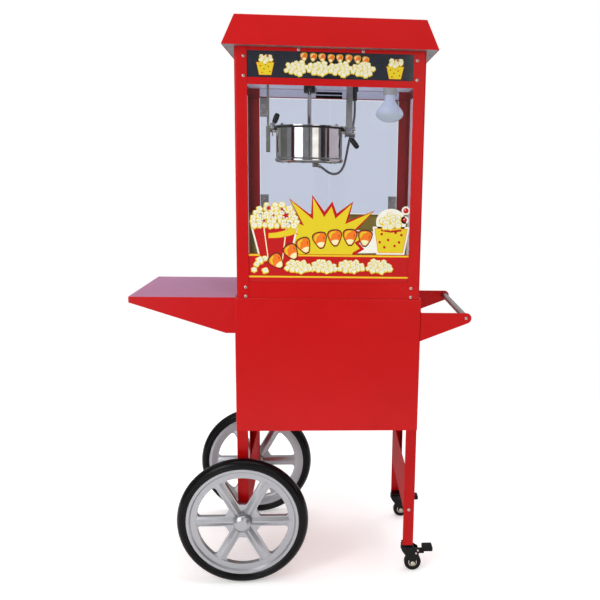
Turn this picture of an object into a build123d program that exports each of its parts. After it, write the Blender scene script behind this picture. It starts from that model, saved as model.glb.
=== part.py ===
from build123d import *
import math
import os

# Popcorn machine standing on a two-wheel cart, one STEP file for each piece.
# Millimetres, +Z up. Everything is drawn about the cabinet's own centre line (x = 0, y = 0, front
# towards -Y, floor at z = 0) and moved sideways on export, so that the origin of the finished part
# is the middle of its footprint.

# ---- driving dimensions ----
SHEET = 1.5                     # folded steel sheet
CART_W, CART_D = 512.0, 370.0   # cart cupboard, outside
CART_TOP, CART_BOTTOM = 822.0, 440.0
CAB_W, CAB_D = 500.0, 370.0     # cabinet, across its corner posts
BASE_TOP = 865.0                # top of the cabinet's base tray
SILL_TOP = 1030.0               # bottom edge of the glass doors' opening
RAIL_BOTTOM, RAIL_TOP = 1385.0, 1403.0
SIGN_TOP = 1470.0
CEILING = 1412.0                # underside of the cabinet's ceiling plate
EAVE, ROOF_TOP = 1479.0, 1558.0
ROOF_OVERHANG, ROOF_SLOPE_IN = 28.5, 30.0
POST_W = 33.0                   # each face of a corner post
LEG_W, LEG_T = 31.0, 2.0
LEG_FOOT, LEFT_LEG_FOOT = 84.0, 150.0
SHELF_REACH, SHELF_TIP_H = 285.0, 16.0
GUSSET_FOOT = 722.5             # lowest point of the side shelf
HANDLE_REACH, HANDLE_TIP_R = 142.5, 15.0
HANDLE_Z, HANDLE_TUBE_D = 768.0, 18.0
WHEEL_R, RIM_R, WHEEL_PLANE = 185.0, 158.0, 213.0
TYRE_HALF_W = 18.0
AXLE_X, AXLE_D = -237.5, 16.0
CASTER_WHEEL_R, CASTER_TRAIL = 25.0, 17.0
KETTLE_X, KETTLE_R = -59.0, 95.0
KETTLE_BOTTOM, KETTLE_RIM = 1188.0, 1288.0
KETTLE_RIM_R, HEATER_R, HEATER_H = 102.0, 98.0, 12.0
TILT_Z, TRUNNION_R = 1278.0, 6.0
LAMP_X = 172.0
GLASS_T = 4.0
RUNNING = 0.05                  # radial clearance of a shaft in its hole
PLAY = 0.5                      # gap between faces that slide past each other

# the middle of the footprint, which the side shelf and the push handle stretch unevenly
SHIFT_X = (SHELF_REACH - HANDLE_REACH) / 2


# ---- small helpers ----
def block(x0, x1, y0, y1, z0, z1):
    """A box given by its corners."""
    size = (x1 - x0, y1 - y0, z1 - z0)
    return Pos((x0 + x1) / 2, (y0 + y1) / 2, (z0 + z1) / 2) * Box(*size)


def rod_x(x0, x1, y, z, r):
    return Pos((x0 + x1) / 2, y, z) * Rot(0, 90, 0) * Cylinder(r, x1 - x0)


def rod_y(y0, y1, x, z, r):
    return Pos(x, (y0 + y1) / 2, z) * Rot(90, 0, 0) * Cylinder(r, y1 - y0)


def rod_z(z0, z1, x, y, r):
    return Pos(x, y, (z0 + z1) / 2) * Cylinder(r, z1 - z0)


def rod_between(start, end, r):
    """A round bar between two points."""
    a, b = Vector(*start), Vector(*end)
    return extrude(Plane(origin=a, z_dir=b - a) * Circle(r), amount=(b - a).length)


def plate_xz(points, y0, y1):
    """A flat plate with an outline given in X and Z."""
    face = make_face(Polyline(*[(x, y0, z) for x, z in points], close=True))
    return extrude(face, amount=y1 - y0, dir=(0, 1, 0))


def plate_yz(points, x0, x1):
    """A flat plate with an outline given in Y and Z."""
    face = make_face(Polyline(*[(x0, y, z) for y, z in points], close=True))
    return extrude(face, amount=x1 - x0, dir=(1, 0, 0))


def turned(points, x, y, z=0.0):
    """A solid of revolution about a vertical line, from (radius, height) points."""
    face = make_face(Polyline(*[(r, 0, h) for r, h in points], close=True))
    return Pos(x, y, z) * revolve(face, Axis.Z, 360)


def turned_y(points, x, z, side):
    """A solid of revolution about a line along Y; the points are (radius, distance out)."""
    face = make_face(Polyline(*[(r, side * out, 0) for r, out in points], close=True))
    return Pos(x, 0, z) * revolve(face, Axis.Y, 360)


def four_corners(make):
    """The four pieces that make(sx, sy) draws, one for each corner."""
    return [make(sx, sy) for sx in (-1, 1) for sy in (-1, 1)]


def write(name, *solids):
    """One file for each node; a node may be a group of separate solids."""
    moved = [Pos(SHIFT_X, 0, 0) * s for s in solids]
    whole = moved[0] if len(moved) == 1 else Compound(children=moved)
    export_step(whole, f"parts/{name}.step")


# ---- cart ----
INNER_X, INNER_Y = CART_W / 2 - SHEET, CART_D / 2 - SHEET
LEG_INNER_X = INNER_X - LEG_W


def cart_shell():
    """Front and two sides in one folded sheet, with narrow flanges all round and at the back."""
    shell = block(-CART_W / 2, CART_W / 2, -CART_D / 2, CART_D / 2, CART_BOTTOM, CART_TOP)
    shell = fillet(shell.edges().filter_by(Axis.Z), 2.5)
    shell = fillet(shell.edges().group_by(Axis.Z)[-1], 4)
    shell -= block(-INNER_X, INNER_X, -INNER_Y, INNER_Y, CART_BOTTOM + SHEET, CART_TOP - SHEET)
    flange = 16.0
    hole_x, hole_y = CART_W / 2 - flange, CART_D / 2 - flange
    for z in (CART_TOP, CART_BOTTOM):
        shell -= block(-hole_x, hole_x, -hole_y, hole_y, z - 2, z + 2)
    shell -= block(-LEG_INNER_X, LEG_INNER_X, INNER_Y - 1, CART_D / 2 + 1,
                   CART_BOTTOM + SHEET, CART_TOP - SHEET)
    notch = LEG_W + 1
    for notch_corner in four_corners(lambda sx, sy: leg_corner_block(sx, sy, notch, CART_BOTTOM - 1,
                                                                     CART_BOTTOM + SHEET)):
        shell -= notch_corner
    return shell


def leg_corner_block(sx, sy, size, z0, z1):
    """A square block in one inside corner of the cupboard."""
    xs = sorted((sx * INNER_X, sx * (INNER_X - size)))
    ys = sorted((sy * INNER_Y, sy * (INNER_Y - size)))
    return block(*xs, *ys, z0, z1)


DECK_Z = CART_TOP - 2 * SHEET
DOOR_PIN_X, DOOR_PIN_Y, DOOR_PIN_R = -213.5, 176.0, 3.0


def cart_plate(z0):
    """A flat plate that fills the cupboard, bored for the door's pin."""
    plate = block(-INNER_X, INNER_X, -INNER_Y, INNER_Y, z0, z0 + SHEET)
    return plate - rod_z(z0 - 1, z0 + SHEET + 1, DOOR_PIN_X, DOOR_PIN_Y, DOOR_PIN_R + RUNNING)


def cart_deck():
    return cart_plate(DECK_Z)


FLOOR_Z = CART_BOTTOM + SHEET


def cart_floor():
    plate = cart_plate(FLOOR_Z)
    for corner in four_corners(lambda sx, sy: leg_corner_block(sx, sy, LEG_W + 1, FLOOR_Z - 1,
                                                               FLOOR_Z + SHEET + 1)):
        plate -= corner
    return plate


def leg(sx, sy, foot):
    """An angle-section leg in one corner of the cupboard."""
    angle = leg_corner_block(sx, sy, LEG_W, foot, DECK_Z)
    hollow = Pos(-sx * LEG_T, -sy * LEG_T, 0) * angle
    return angle - hollow


def left_legs():
    bore = rod_y(-CART_D / 2, CART_D / 2, AXLE_X, WHEEL_R, AXLE_D / 2 + RUNNING)
    return [leg(-1, sy, LEFT_LEG_FOOT) - bore for sy in (-1, 1)]


def right_legs():
    return [leg(1, sy, LEG_FOOT) for sy in (-1, 1)]


TIE_BOTTOM, TIE_TOP = 194.0, 332.0


def leg_tie(side):
    """A channel between a front and a rear leg, on the inner edges of their flanges."""
    x0 = LEG_INNER_X + 0.5
    y1 = INNER_Y - LEG_T
    web = block(x0, x0 + SHEET, -y1, y1, TIE_BOTTOM, TIE_TOP)
    for sy in (-1, 1):
        ys = sorted((sy * y1, sy * (y1 - SHEET)))
        web += block(x0, INNER_X - LEG_T - 1, *ys, TIE_BOTTOM, TIE_TOP)
    return web if side > 0 else mirror(web, Plane.YZ)


def axle():
    reach = WHEEL_PLANE + 25
    return rod_y(-reach, reach, AXLE_X, WHEEL_R, AXLE_D / 2)


def storage_door():
    """A folded door panel with a pin at its top and bottom corner."""
    x0, x1 = DOOR_PIN_X - 4, LEG_INNER_X - 3
    z0, z1 = FLOOR_Z + SHEET + 1, DECK_Z - 1
    y1 = CART_D / 2
    panel = block(x0, x1, y1 - 15, y1, z0, z1)
    panel = fillet(panel.edges().filter_by(Axis.Z).group_by(Axis.Y)[-1], 2)
    panel -= block(x0 + SHEET, x1 - SHEET, y1 - 16, y1 - SHEET, z0 + SHEET, z1 - SHEET)
    for pin_z in ((FLOOR_Z + 0.2, z0 + 3), (z1 - 3, DECK_Z + SHEET - 0.2)):
        panel += rod_z(*pin_z, DOOR_PIN_X, DOOR_PIN_Y, DOOR_PIN_R)
    return panel


def storage_door_handle():
    """A bent wire pull near the free edge of the door."""
    x, y = LEG_INNER_X - 30, CART_D / 2
    low, high, out, r = 600.0, 690.0, 24.0, 4.0
    path = FilletPolyline((x, y, low), (x, y + out, low), (x, y + out, high), (x, y, high), radius=9)
    return sweep(Plane(origin=(x, y, low), z_dir=(0, 1, 0)) * Circle(r), path=path)


def side_shelf():
    """A shelf folded from one sheet: its front and back edges are deep gussets."""
    x0, x1 = -CART_W / 2 - SHELF_REACH, -CART_W / 2
    half = CART_D / 2 - 2
    top, tip = CART_TOP, CART_TOP - SHELF_TIP_H
    heel = 25.0                 # level stretch at the foot of the gusset
    side = [(x0, tip), (x0, top), (x1, top), (x1, GUSSET_FOOT), (x1 - heel, GUSSET_FOOT)]
    shelf = plate_xz(side, -half, half)
    shelf = fillet(shelf.edges().group_by(Axis.Z)[-1].filter_by(Axis.X), 1.2)
    inner = [(x0 + SHEET, tip - 100), (x0 + SHEET, top - SHEET),
             (x1 - SHEET, top - SHEET), (x1 - SHEET, tip - 100)]
    return shelf - plate_xz(inner, -half + SHEET, half - SHEET)


def handle_bracket(sy):
    """A tapered plate with a round end that carries the push handle."""
    x0 = CART_W / 2
    tip_x = x0 + HANDLE_REACH - HANDLE_TIP_R
    foot_z, plate_t = 702.0, 2.0
    reach, drop = tip_x - x0, HANDLE_Z - foot_z
    # the slanted lower edge leaves the bottom corner and just touches the round end
    span = math.hypot(reach, drop)
    slope = math.atan2(drop, reach) - math.asin(HANDLE_TIP_R / span)
    touch = (tip_x + HANDLE_TIP_R * math.sin(slope), HANDLE_Z - HANDLE_TIP_R * math.cos(slope))
    outline = [(x0, foot_z), (x0, HANDLE_Z + HANDLE_TIP_R), (tip_x, HANDLE_Z + HANDLE_TIP_R), touch]
    outer, inner = CART_D / 2 + 1.5, CART_D / 2 - 0.5
    ys = sorted((sy * outer, sy * inner))
    plate = plate_xz(outline, *ys) + rod_y(*ys, tip_x, HANDLE_Z, HANDLE_TIP_R)
    flange = sorted((sy * inner, sy * (inner - 22)))
    return plate + block(x0, x0 + plate_t, *flange, foot_z, HANDLE_Z + HANDLE_TIP_R)


def handle_tube():
    half = CART_D / 2 - 0.5
    x = CART_W / 2 + HANDLE_REACH - HANDLE_TIP_R
    tube = rod_y(-half, half, x, HANDLE_Z, HANDLE_TUBE_D / 2)
    return tube - rod_y(-half - 1, half + 1, x, HANDLE_Z, HANDLE_TUBE_D / 2 - 1.5)


# ---- big wheels ----
SPOKES = 6
HUB_R = 25.0


def wheel_rim(side):
    """A moulded wheel: an outer ring, six ribbed spokes and a hub that stands out."""
    back, front = WHEEL_PLANE - 14, WHEEL_PLANE + 14
    bore = AXLE_D / 2 + RUNNING
    ring = turned_y([(130, WHEEL_PLANE - 8), (150, back), (RIM_R, back), (RIM_R, front),
                     (150, front), (146, WHEEL_PLANE + 8), (130, WHEEL_PLANE + 8)],
                    AXLE_X, WHEEL_R, side)
    web = turned_y([(bore, WHEEL_PLANE - 6), (132, WHEEL_PLANE - 6), (132, WHEEL_PLANE + 6),
                    (bore, WHEEL_PLANE + 6)], AXLE_X, WHEEL_R, side)
    hub = turned_y([(bore, WHEEL_PLANE - 16), (HUB_R - 1, WHEEL_PLANE - 16),
                    (HUB_R + 3, WHEEL_PLANE), (HUB_R, WHEEL_PLANE + 19.5), (bore, WHEEL_PLANE + 19.5)],
                   AXLE_X, WHEEL_R, side)
    ys = sorted((side * (WHEEL_PLANE - 20), side * (WHEEL_PLANE + 20)))
    rib_ys = sorted((side * (WHEEL_PLANE + 5), side * (WHEEL_PLANE + 9)))
    rim = web
    for k in range(SPOKES):
        turn = Pos(AXLE_X, 0, WHEEL_R) * Rot(0, 360 / SPOKES * k, 0)
        rim -= turn * spoke_window(*ys)
    for k in range(SPOKES):
        turn = Pos(AXLE_X, 0, WHEEL_R) * Rot(0, 360 / SPOKES * k, 0)
        rim += turn * block(20, 134, *rib_ys, -3, 3)
    return rim + ring + hub


def spoke_window(y0, y1):
    """The rounded opening between two spokes, half-way between them."""
    half_spoke, inner_r, outer_r = 15.0, 50.0, 130.0
    half_turn = math.pi / SPOKES
    apex = half_spoke / math.sin(half_turn)
    wedge_r = 200.0
    wedge = plate_xz([(apex, 0), (apex + wedge_r * math.cos(half_turn), wedge_r * math.sin(half_turn)),
                      (apex + wedge_r * math.cos(half_turn), -wedge_r * math.sin(half_turn))], y0, y1)
    ring = rod_y(y0, y1, 0, 0, outer_r) - rod_y(y0 - 1, y1 + 1, 0, 0, inner_r)
    window = wedge & ring
    window = fillet(window.edges().filter_by(Axis.Y), 9)
    return Rot(0, -math.degrees(half_turn), 0) * window


def wheel_tyre(side):
    """A solid tyre with a rounded tread."""
    seat, tread = TYRE_HALF_W - 4, 9.0
    shoulder, edge = (WHEEL_R - 12, TYRE_HALF_W), WHEEL_R - 3

    def at(r, out):
        return (r, side * (WHEEL_PLANE + out), 0)

    section = [
        Line(at(RIM_R, -seat), at(RIM_R, seat)),
        ThreePointArc(at(RIM_R, seat), at(*shoulder), at(edge, tread)),
        ThreePointArc(at(edge, tread), at(WHEEL_R, 0), at(edge, -tread)),
        ThreePointArc(at(edge, -tread), at(shoulder[0], -shoulder[1]), at(RIM_R, -seat)),
    ]
    face = make_face(section)
    return Pos(AXLE_X, 0, WHEEL_R) * revolve(face, Axis.Y, 360)


def hub_cap(side):
    """A domed cap pressed on the end of the axle."""
    root, end = WHEEL_PLANE + 20, WHEEL_PLANE + 34
    bore, axle_end = AXLE_D / 2 + RUNNING, WHEEL_PLANE + 25.2
    return turned_y([(bore, root), (HUB_R - 0.5, root), (HUB_R, root + 3), (HUB_R - 2, end - 3),
                     (HUB_R - 8, end), (0, end), (0, axle_end), (bore, axle_end)],
                    AXLE_X, WHEEL_R, side)


# ---- swivel casters with a foot brake ----
CASTER_X, CASTER_Y = INNER_X - LEG_W / 2, INNER_Y - LEG_W / 2
CASTER_TOP = LEG_FOOT - 2
STEM_R = 5.0
BRAKE_X, BRAKE_Z, BRAKE_PIN_R = 26.0, 57.0, 2.5
EAR_IN, EAR_OUT = 11.0, 14.0


def at_caster(side, solid):
    return Pos(CASTER_X, side * CASTER_Y, 0) * solid


def caster_plate(side):
    """The plate under the leg, with the swivel's stem."""
    half = LEG_W / 2 + 1
    plate = block(-half, half, -half, half, CASTER_TOP, LEG_FOOT)
    return at_caster(side, plate + rod_z(60, CASTER_TOP, 0, 0, STEM_R))


def caster_fork(side):
    """A crown that turns on the stem, and two ears riveted to the wheel's pin."""
    crown = rod_z(66, CASTER_TOP - PLAY, 0, 0, 19)
    crown = fillet(crown.edges().group_by(Axis.Z)[-1], 3)
    ear = [(-17, 78), (17, 78), (33, 66), (33, 48), (CASTER_TRAIL + 8, 17), (CASTER_TRAIL - 8, 17),
           (-17, 64)]
    fork = crown
    for y0 in (-EAR_OUT, EAR_IN):
        fork += plate_xz(ear, y0, y0 + EAR_OUT - EAR_IN)
    fork += rod_y(-EAR_OUT, EAR_OUT, CASTER_TRAIL, CASTER_WHEEL_R, 4)
    fork -= rod_z(50, CASTER_TOP + 1, 0, 0, STEM_R + RUNNING)
    fork -= rod_y(-20, 20, BRAKE_X, BRAKE_Z, BRAKE_PIN_R + RUNNING)
    return at_caster(side, fork)


def caster_wheel(side):
    wheel = rod_y(-9.5, 9.5, CASTER_TRAIL, CASTER_WHEEL_R, CASTER_WHEEL_R)
    wheel = fillet(wheel.edges(), 3)
    return at_caster(side, wheel - rod_y(-20, 20, CASTER_TRAIL, CASTER_WHEEL_R, 4 + RUNNING))


def caster_brake(side):
    """A foot lever on its pin, with a shoe that comes down to the tread."""
    lever = block(22, 50, -9, 9, 54, 63) + block(26, 34, -9, 9, 49.5, 55)
    pad = block(44, 75, -13, 13, 62, 76)
    lever += fillet(pad.edges().filter_by(Axis.Y), 4)
    lever += rod_y(-EAR_OUT, EAR_OUT, BRAKE_X, BRAKE_Z, BRAKE_PIN_R)
    return at_caster(side, lever)


# ---- cabinet ----
TRAY_X, TRAY_Y = CAB_W / 2 - SHEET, CAB_D / 2 - SHEET      # outside of the sheets behind the posts
IN_X, IN_Y = TRAY_X - SHEET, TRAY_Y - SHEET                # inside of those sheets
POST_R = 5.0
FOLD_R = POST_R - SHEET                                    # what the post's inner radius leaves free
OPEN_X = CAB_W / 2 - POST_W
FLOOR_TOP = 860.0
DRAWER_X, DRAWER_TOP, DRAWER_DEPTH = 168.0, 853.0, 300.0


def corner_post(sx, sy):
    """An angle-section post with a rounded outer corner."""
    xs = sorted((sx * CAB_W / 2, sx * OPEN_X))
    ys = sorted((sy * CAB_D / 2, sy * (CAB_D / 2 - POST_W)))
    post = block(*xs, *ys, CART_TOP, EAVE)
    middle = (0, 0, (CART_TOP + EAVE) / 2)
    hollow = Pos(-sx * SHEET, -sy * SHEET, 0) * post
    post = fillet(post.edges().filter_by(Axis.Z).sort_by_distance(middle)[-1], POST_R)
    hollow = fillet(hollow.edges().filter_by(Axis.Z).sort_by_distance(middle)[-1], POST_R - SHEET)
    return post - hollow


def machine_base():
    """The base tray; the kernel drawer runs in it from the back."""
    tray = block(-TRAY_X, TRAY_X, -TRAY_Y, TRAY_Y, CART_TOP, BASE_TOP)
    tray = fillet(tray.edges().filter_by(Axis.Z), POST_R - SHEET)
    tray -= block(-IN_X, IN_X, -IN_Y, IN_Y, CART_TOP + SHEET, BASE_TOP + 1)
    return tray - block(-DRAWER_X - 2, DRAWER_X + 2, IN_Y - 1, TRAY_Y + 1, CART_TOP + SHEET, DRAWER_TOP + 2)


def popping_floor():
    """A stainless floor with rows of slots that let unpopped kernels fall through."""
    plate = block(-IN_X, IN_X, -IN_Y, IN_Y, FLOOR_TOP - SHEET, FLOOR_TOP)
    slot_l, slot_w = 24.0, 5.0
    columns, rows = 9, 7
    pitch_x, pitch_y = 36.0, 26.0
    for i in range(columns):
        x = (i - (columns - 1) / 2) * pitch_x
        slots = [block(x - slot_l / 2, x + slot_l / 2, y - slot_w / 2, y + slot_w / 2,
                       FLOOR_TOP - 3, FLOOR_TOP + 1)
                 for y in ((j - (rows - 1) / 2) * pitch_y for j in range(rows))]
        plate = plate.cut(*slots) if hasattr(plate, "cut") else plate - slots
    return plate


def kernel_drawer():
    """A shallow tray behind a face plate with a turned-out lip to pull."""
    y1 = TRAY_Y + 0.3
    z0 = CART_TOP + SHEET + PLAY
    tray = block(-DRAWER_X, DRAWER_X, y1 - DRAWER_DEPTH, y1, z0, DRAWER_TOP)
    tray -= block(-DRAWER_X + SHEET, DRAWER_X - SHEET, y1 - DRAWER_DEPTH + SHEET, y1 + 1,
                  z0 + SHEET, DRAWER_TOP + 1)
    tray += block(-DRAWER_X - 10, DRAWER_X + 10, y1, y1 + SHEET, z0, BASE_TOP - 4)
    return tray + block(-45, 45, y1, y1 + 13, BASE_TOP - 6, BASE_TOP - 4)


GLASS_FRONT = -IN_Y + 0.1
GLASS_TOP = RAIL_BOTTOM + 10
GLASS_X = IN_X - 0.1


def front_glass():
    half = GLASS_X - GLASS_T - 0.4
    return block(-half, half, GLASS_FRONT, GLASS_FRONT + GLASS_T, FLOOR_TOP, GLASS_TOP)


def side_glass(side):
    xs = sorted((side * GLASS_X, side * (GLASS_X - GLASS_T)))
    return block(*xs, GLASS_FRONT + 0.4, IN_Y - 0.5, FLOOR_TOP, GLASS_TOP)


def header_frame():
    """Front and sides of the head in one folded sheet, with a window for the sign."""
    head = block(-TRAY_X, TRAY_X, -TRAY_Y, TRAY_Y, RAIL_BOTTOM, EAVE)
    head = fillet(head.edges().filter_by(Axis.Z).group_by(Axis.Y)[0], POST_R - SHEET)
    head -= block(-IN_X, IN_X, -IN_Y, TRAY_Y + 1, RAIL_BOTTOM - 1, EAVE + 1)
    head -= block(-TRAY_X - 1, TRAY_X + 1, TRAY_Y - FOLD_R, TRAY_Y + 1, RAIL_BOTTOM - 1, EAVE + 1)
    return head - block(-OPEN_X, OPEN_X, -TRAY_Y - 1, -IN_Y + 1, RAIL_TOP, SIGN_TOP)


def sign_panel():
    half = IN_X - 5
    return block(-half, half, GLASS_FRONT, GLASS_FRONT + 3, GLASS_TOP + 1, EAVE - 2)


FLANGE_Y0 = 167.0
HINGE_X, HINGE_Y, HINGE_PIN_R = 208.0, 178.0, 3.0
SWITCH_XS, SWITCH_Z = (-70.0, 0.0, 70.0), 1434.0
SWITCH_R, SWITCH_W = 13.2, 13.0
INLET_X, INLET_HALF_W, INLET_HALF_H = -165.0, 14.0, 10.0


def hinge_bores(z):
    return [rod_z(z - 3, z + 3, sx * HINGE_X, HINGE_Y, HINGE_PIN_R + RUNNING) for sx in (-1, 1)]


def rear_header():
    """The back of the head: vents, switches, mains inlet and the doors' top pivots."""
    plate = block(FOLD_R - TRAY_X, TRAY_X - FOLD_R, IN_Y, TRAY_Y, RAIL_BOTTOM, EAVE)
    plate += block(-IN_X + 5, IN_X - 5, FLANGE_Y0, IN_Y, RAIL_BOTTOM, RAIL_BOTTOM + SHEET)
    for bore in hinge_bores(RAIL_BOTTOM):
        plate -= bore
    for x in SWITCH_XS:
        plate -= block(x - SWITCH_W / 2 - 0.5, x + SWITCH_W / 2 + 0.5, IN_Y - 1, TRAY_Y + 1,
                       SWITCH_Z - SWITCH_R - 0.5, SWITCH_Z + SWITCH_R + 0.5)
    plate -= block(INLET_X - INLET_HALF_W, INLET_X + INLET_HALF_W, IN_Y - 1, TRAY_Y + 1,
                   SWITCH_Z - INLET_HALF_H, SWITCH_Z + INLET_HALF_H)
    for k in range(5):
        z = SWITCH_Z - 18 + 9 * k
        plate -= block(130, 200, IN_Y - 1, TRAY_Y + 1, z - 1.5, z + 1.5)
    return plate


def rear_sill():
    """A stainless panel under the doors, with their bottom pivots in its flange."""
    sill = block(FOLD_R - TRAY_X, TRAY_X - FOLD_R, IN_Y, TRAY_Y, BASE_TOP, SILL_TOP)
    sill += block(-IN_X + 5, IN_X - 5, FLANGE_Y0, IN_Y, SILL_TOP - SHEET, SILL_TOP)
    for bore in hinge_bores(SILL_TOP):
        sill -= bore
    return sill


def ceiling_plate():
    plate = block(-IN_X, IN_X, GLASS_FRONT + 3.5, IN_Y, CEILING, CEILING + SHEET)
    return plate - rod_z(CEILING - 1, CEILING + 3, KETTLE_X, 0, 8)


ROOF_X, ROOF_Y = CAB_W / 2 + ROOF_OVERHANG, CAB_D / 2 + ROOF_OVERHANG


def roof_tray():
    """The plate that closes the eaves from below, open over the cabinet's head."""
    half_x, half_y = ROOF_X - 2.5, ROOF_Y - 2.5
    plate = block(-half_x, half_x, -half_y, half_y, EAVE, EAVE + SHEET)
    return plate - block(-220, 220, -155, 155, EAVE - 1, EAVE + 3)


def frustum(inset, z0, z1):
    """The roof's block, with every side moved in by inset."""
    slope = ROOF_SLOPE_IN / (ROOF_TOP - EAVE)

    def outline(z):
        shrink = inset + slope * (z - EAVE)
        return Pos(0, 0, z) * Rectangle(2 * (ROOF_X - shrink), 2 * (ROOF_Y - shrink))

    return loft([outline(z0), outline(z1)])


def roof_canopy():
    roof = frustum(0, EAVE, ROOF_TOP)
    roof = fillet(roof.edges().group_by(Axis.Z)[-1], 2)
    slope = math.atan2(ROOF_SLOPE_IN, ROOF_TOP - EAVE)
    return roof - frustum(SHEET / math.cos(slope), EAVE - 1, ROOF_TOP - SHEET)


def glass_door(sx):
    xs = sorted((sx * 214, sx * 1.5))
    return block(*xs, HINGE_Y - GLASS_T / 2, HINGE_Y + GLASS_T / 2, SILL_TOP + 3, RAIL_BOTTOM - 3)


def door_fittings(sx):
    """A pivot clip on each outer corner of the pane, and a knob near its free edge."""
    xs = sorted((sx * 215, sx * 190))
    clips = []
    for edge, up in ((SILL_TOP, 1), (RAIL_BOTTOM, -1)):
        zs = sorted((edge + up * 0.5, edge + up * 58))
        clip = block(*xs, HINGE_Y - 4.5, HINGE_Y + 4, *zs)
        pane = sorted((edge + up * 3, edge + up * 70))
        clip -= block(sx * 214 - 30, sx * 214 + 30, HINGE_Y - GLASS_T / 2, HINGE_Y + GLASS_T / 2, *pane)
        clip += rod_z(*sorted((edge - up * 1.3, edge + up * 1)), sx * HINGE_X, HINGE_Y, HINGE_PIN_R)
        clips.append(clip)
    x, z = sx * 24, 1205.0
    outer = turned_knob(HINGE_Y + GLASS_T / 2, 18, 9.5)
    inner = turned_knob(HINGE_Y - GLASS_T / 2, -6, 7)
    return clips + [Pos(x, 0, z) * outer, Pos(x, 0, z) * inner]


def turned_knob(y, length, r):
    """A small knob standing out along Y from the face at y."""
    neck = 0.55 * r
    face = make_face(Polyline((0, y, 0), (r * 0.8, y, 0), (neck, y + length * 0.35, 0),
                              (r, y + length * 0.6, 0), (r * 0.9, y + length, 0), (0, y + length, 0),
                              close=True))
    return revolve(face, Axis.Y, 360)


def power_inlet():
    """A flanged mains inlet with three flat pins in its socket."""
    y = TRAY_Y
    body = block(INLET_X - 12.5, INLET_X + 12.5, y - 22, y, SWITCH_Z - 8.5, SWITCH_Z + 8.5)
    body += block(INLET_X - 22, INLET_X + 22, y, y + 2.5, SWITCH_Z - 13, SWITCH_Z + 13)
    body -= block(INLET_X - 10.5, INLET_X + 10.5, y - 14, y + 3, SWITCH_Z - 6.5, SWITCH_Z + 6.5)
    for dx, dz in ((-7, -2), (0, 2), (7, -2)):
        body += block(INLET_X + dx - 1, INLET_X + dx + 1, y - 15, y - 3, SWITCH_Z + dz - 2, SWITCH_Z + dz + 2)
    return body


def rocker_switch(x):
    """A rocker: a round body on its pivot with a shallow V-shaped face, resting at off."""
    y0, y1 = TRAY_Y - 8, TRAY_Y + 5.5
    h = SWITCH_R + 2
    face = [(y0, -h), (y1, -h), (y1 - 3.2, 0), (y1, h), (y0, h)]
    rocker = plate_yz(face, x - SWITCH_W / 2, x + SWITCH_W / 2)
    drum = rod_x(x - SWITCH_W / 2, x + SWITCH_W / 2, TRAY_Y, 0, SWITCH_R)
    tilt = 7.0
    turn = Pos(0, TRAY_Y, SWITCH_Z) * Rot(tilt, 0, 0) * Pos(0, -TRAY_Y, 0)
    return turn * (rocker & drum)


# ---- popping gear ----
TANG_W = 8.0
COLLAR_Z0, COLLAR_Z1 = 1384.0, 1408.0
TANG_TOP = COLLAR_Z0 + 9.4
SHAFT_R, ROD_R = 4.0, 5.5


def drive_motor():
    """A gearbox on the ceiling plate with its motor lying beside it."""
    box = block(KETTLE_X - 35, KETTLE_X + 35, -30, 30, CEILING + SHEET, CEILING + 44)
    box = fillet(box.edges().filter_by(Axis.Z), 5)
    can = rod_x(KETTLE_X + 30, KETTLE_X + 100, 0, CEILING + 30, 26)
    can = fillet(can.edges().group_by(Axis.X)[-1], 4)
    return box + can - rod_z(CEILING, CEILING + 30, KETTLE_X, 0, SHAFT_R + RUNNING)


def drive_collar():
    """The motor's shaft and its slotted collar, open along Y so that the rod can swing out."""
    collar = rod_z(COLLAR_Z0, COLLAR_Z1, KETTLE_X, 0, 16.5)
    collar = fillet(collar.edges().group_by(Axis.Z)[-1], 3)
    half = TANG_W / 2 + 0.3
    collar -= block(KETTLE_X - half, KETTLE_X + half, -20, 20, COLLAR_Z0 - 1, TANG_TOP + 1)
    return collar + rod_z(COLLAR_Z1 - 1, CEILING + 28, KETTLE_X, 0, SHAFT_R)


def stirrer():
    """The kettle's rod, flat at the top for the collar's slot, with two sweeping arms."""
    low = KETTLE_BOTTOM + HEATER_H + 4
    rod = rod_z(low, COLLAR_Z0 - 0.8, KETTLE_X, 0, ROD_R)
    tang = rod_z(COLLAR_Z0 - 0.8, TANG_TOP, KETTLE_X, 0, ROD_R)
    tang &= block(KETTLE_X - TANG_W / 2, KETTLE_X + TANG_W / 2, -9, 9, low, TANG_TOP + 1)
    reach = KETTLE_R - 8
    arms = block(KETTLE_X - reach, KETTLE_X + reach, -4, 4, low, low + 4)
    for sx in (-1, 1):
        xs = sorted((KETTLE_X + sx * reach, KETTLE_X + sx * (reach - 4)))
        arms += block(*xs, -4, 4, low, low + 18)
    return rod + tang + arms + rod_z(low, low + 12, KETTLE_X, 0, 10)


def kettle_pot():
    floor, wall = KETTLE_BOTTOM + HEATER_H, 2.0
    r, rim = KETTLE_R, KETTLE_RIM
    return turned([(0, floor), (r, floor), (r, rim - 3), (KETTLE_RIM_R, rim - 3), (KETTLE_RIM_R, rim),
                   (r - wall, rim), (r - wall, floor + wall), (0, floor + wall)], KETTLE_X, 0)


def kettle_heater():
    """The heater under the pot, in its own shallow pan, with a terminal box for the lead."""
    z0, r = KETTLE_BOTTOM, HEATER_R
    pan = turned([(0, z0), (r - 6, z0), (r, z0 + 6), (r, z0 + HEATER_H), (0, z0 + HEATER_H)], KETTLE_X, 0)
    x = LEAD_ROUTE[-1][0] - 2.5
    return pan + block(x - 18, x, -9, 9, z0 - 12, z0)


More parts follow.
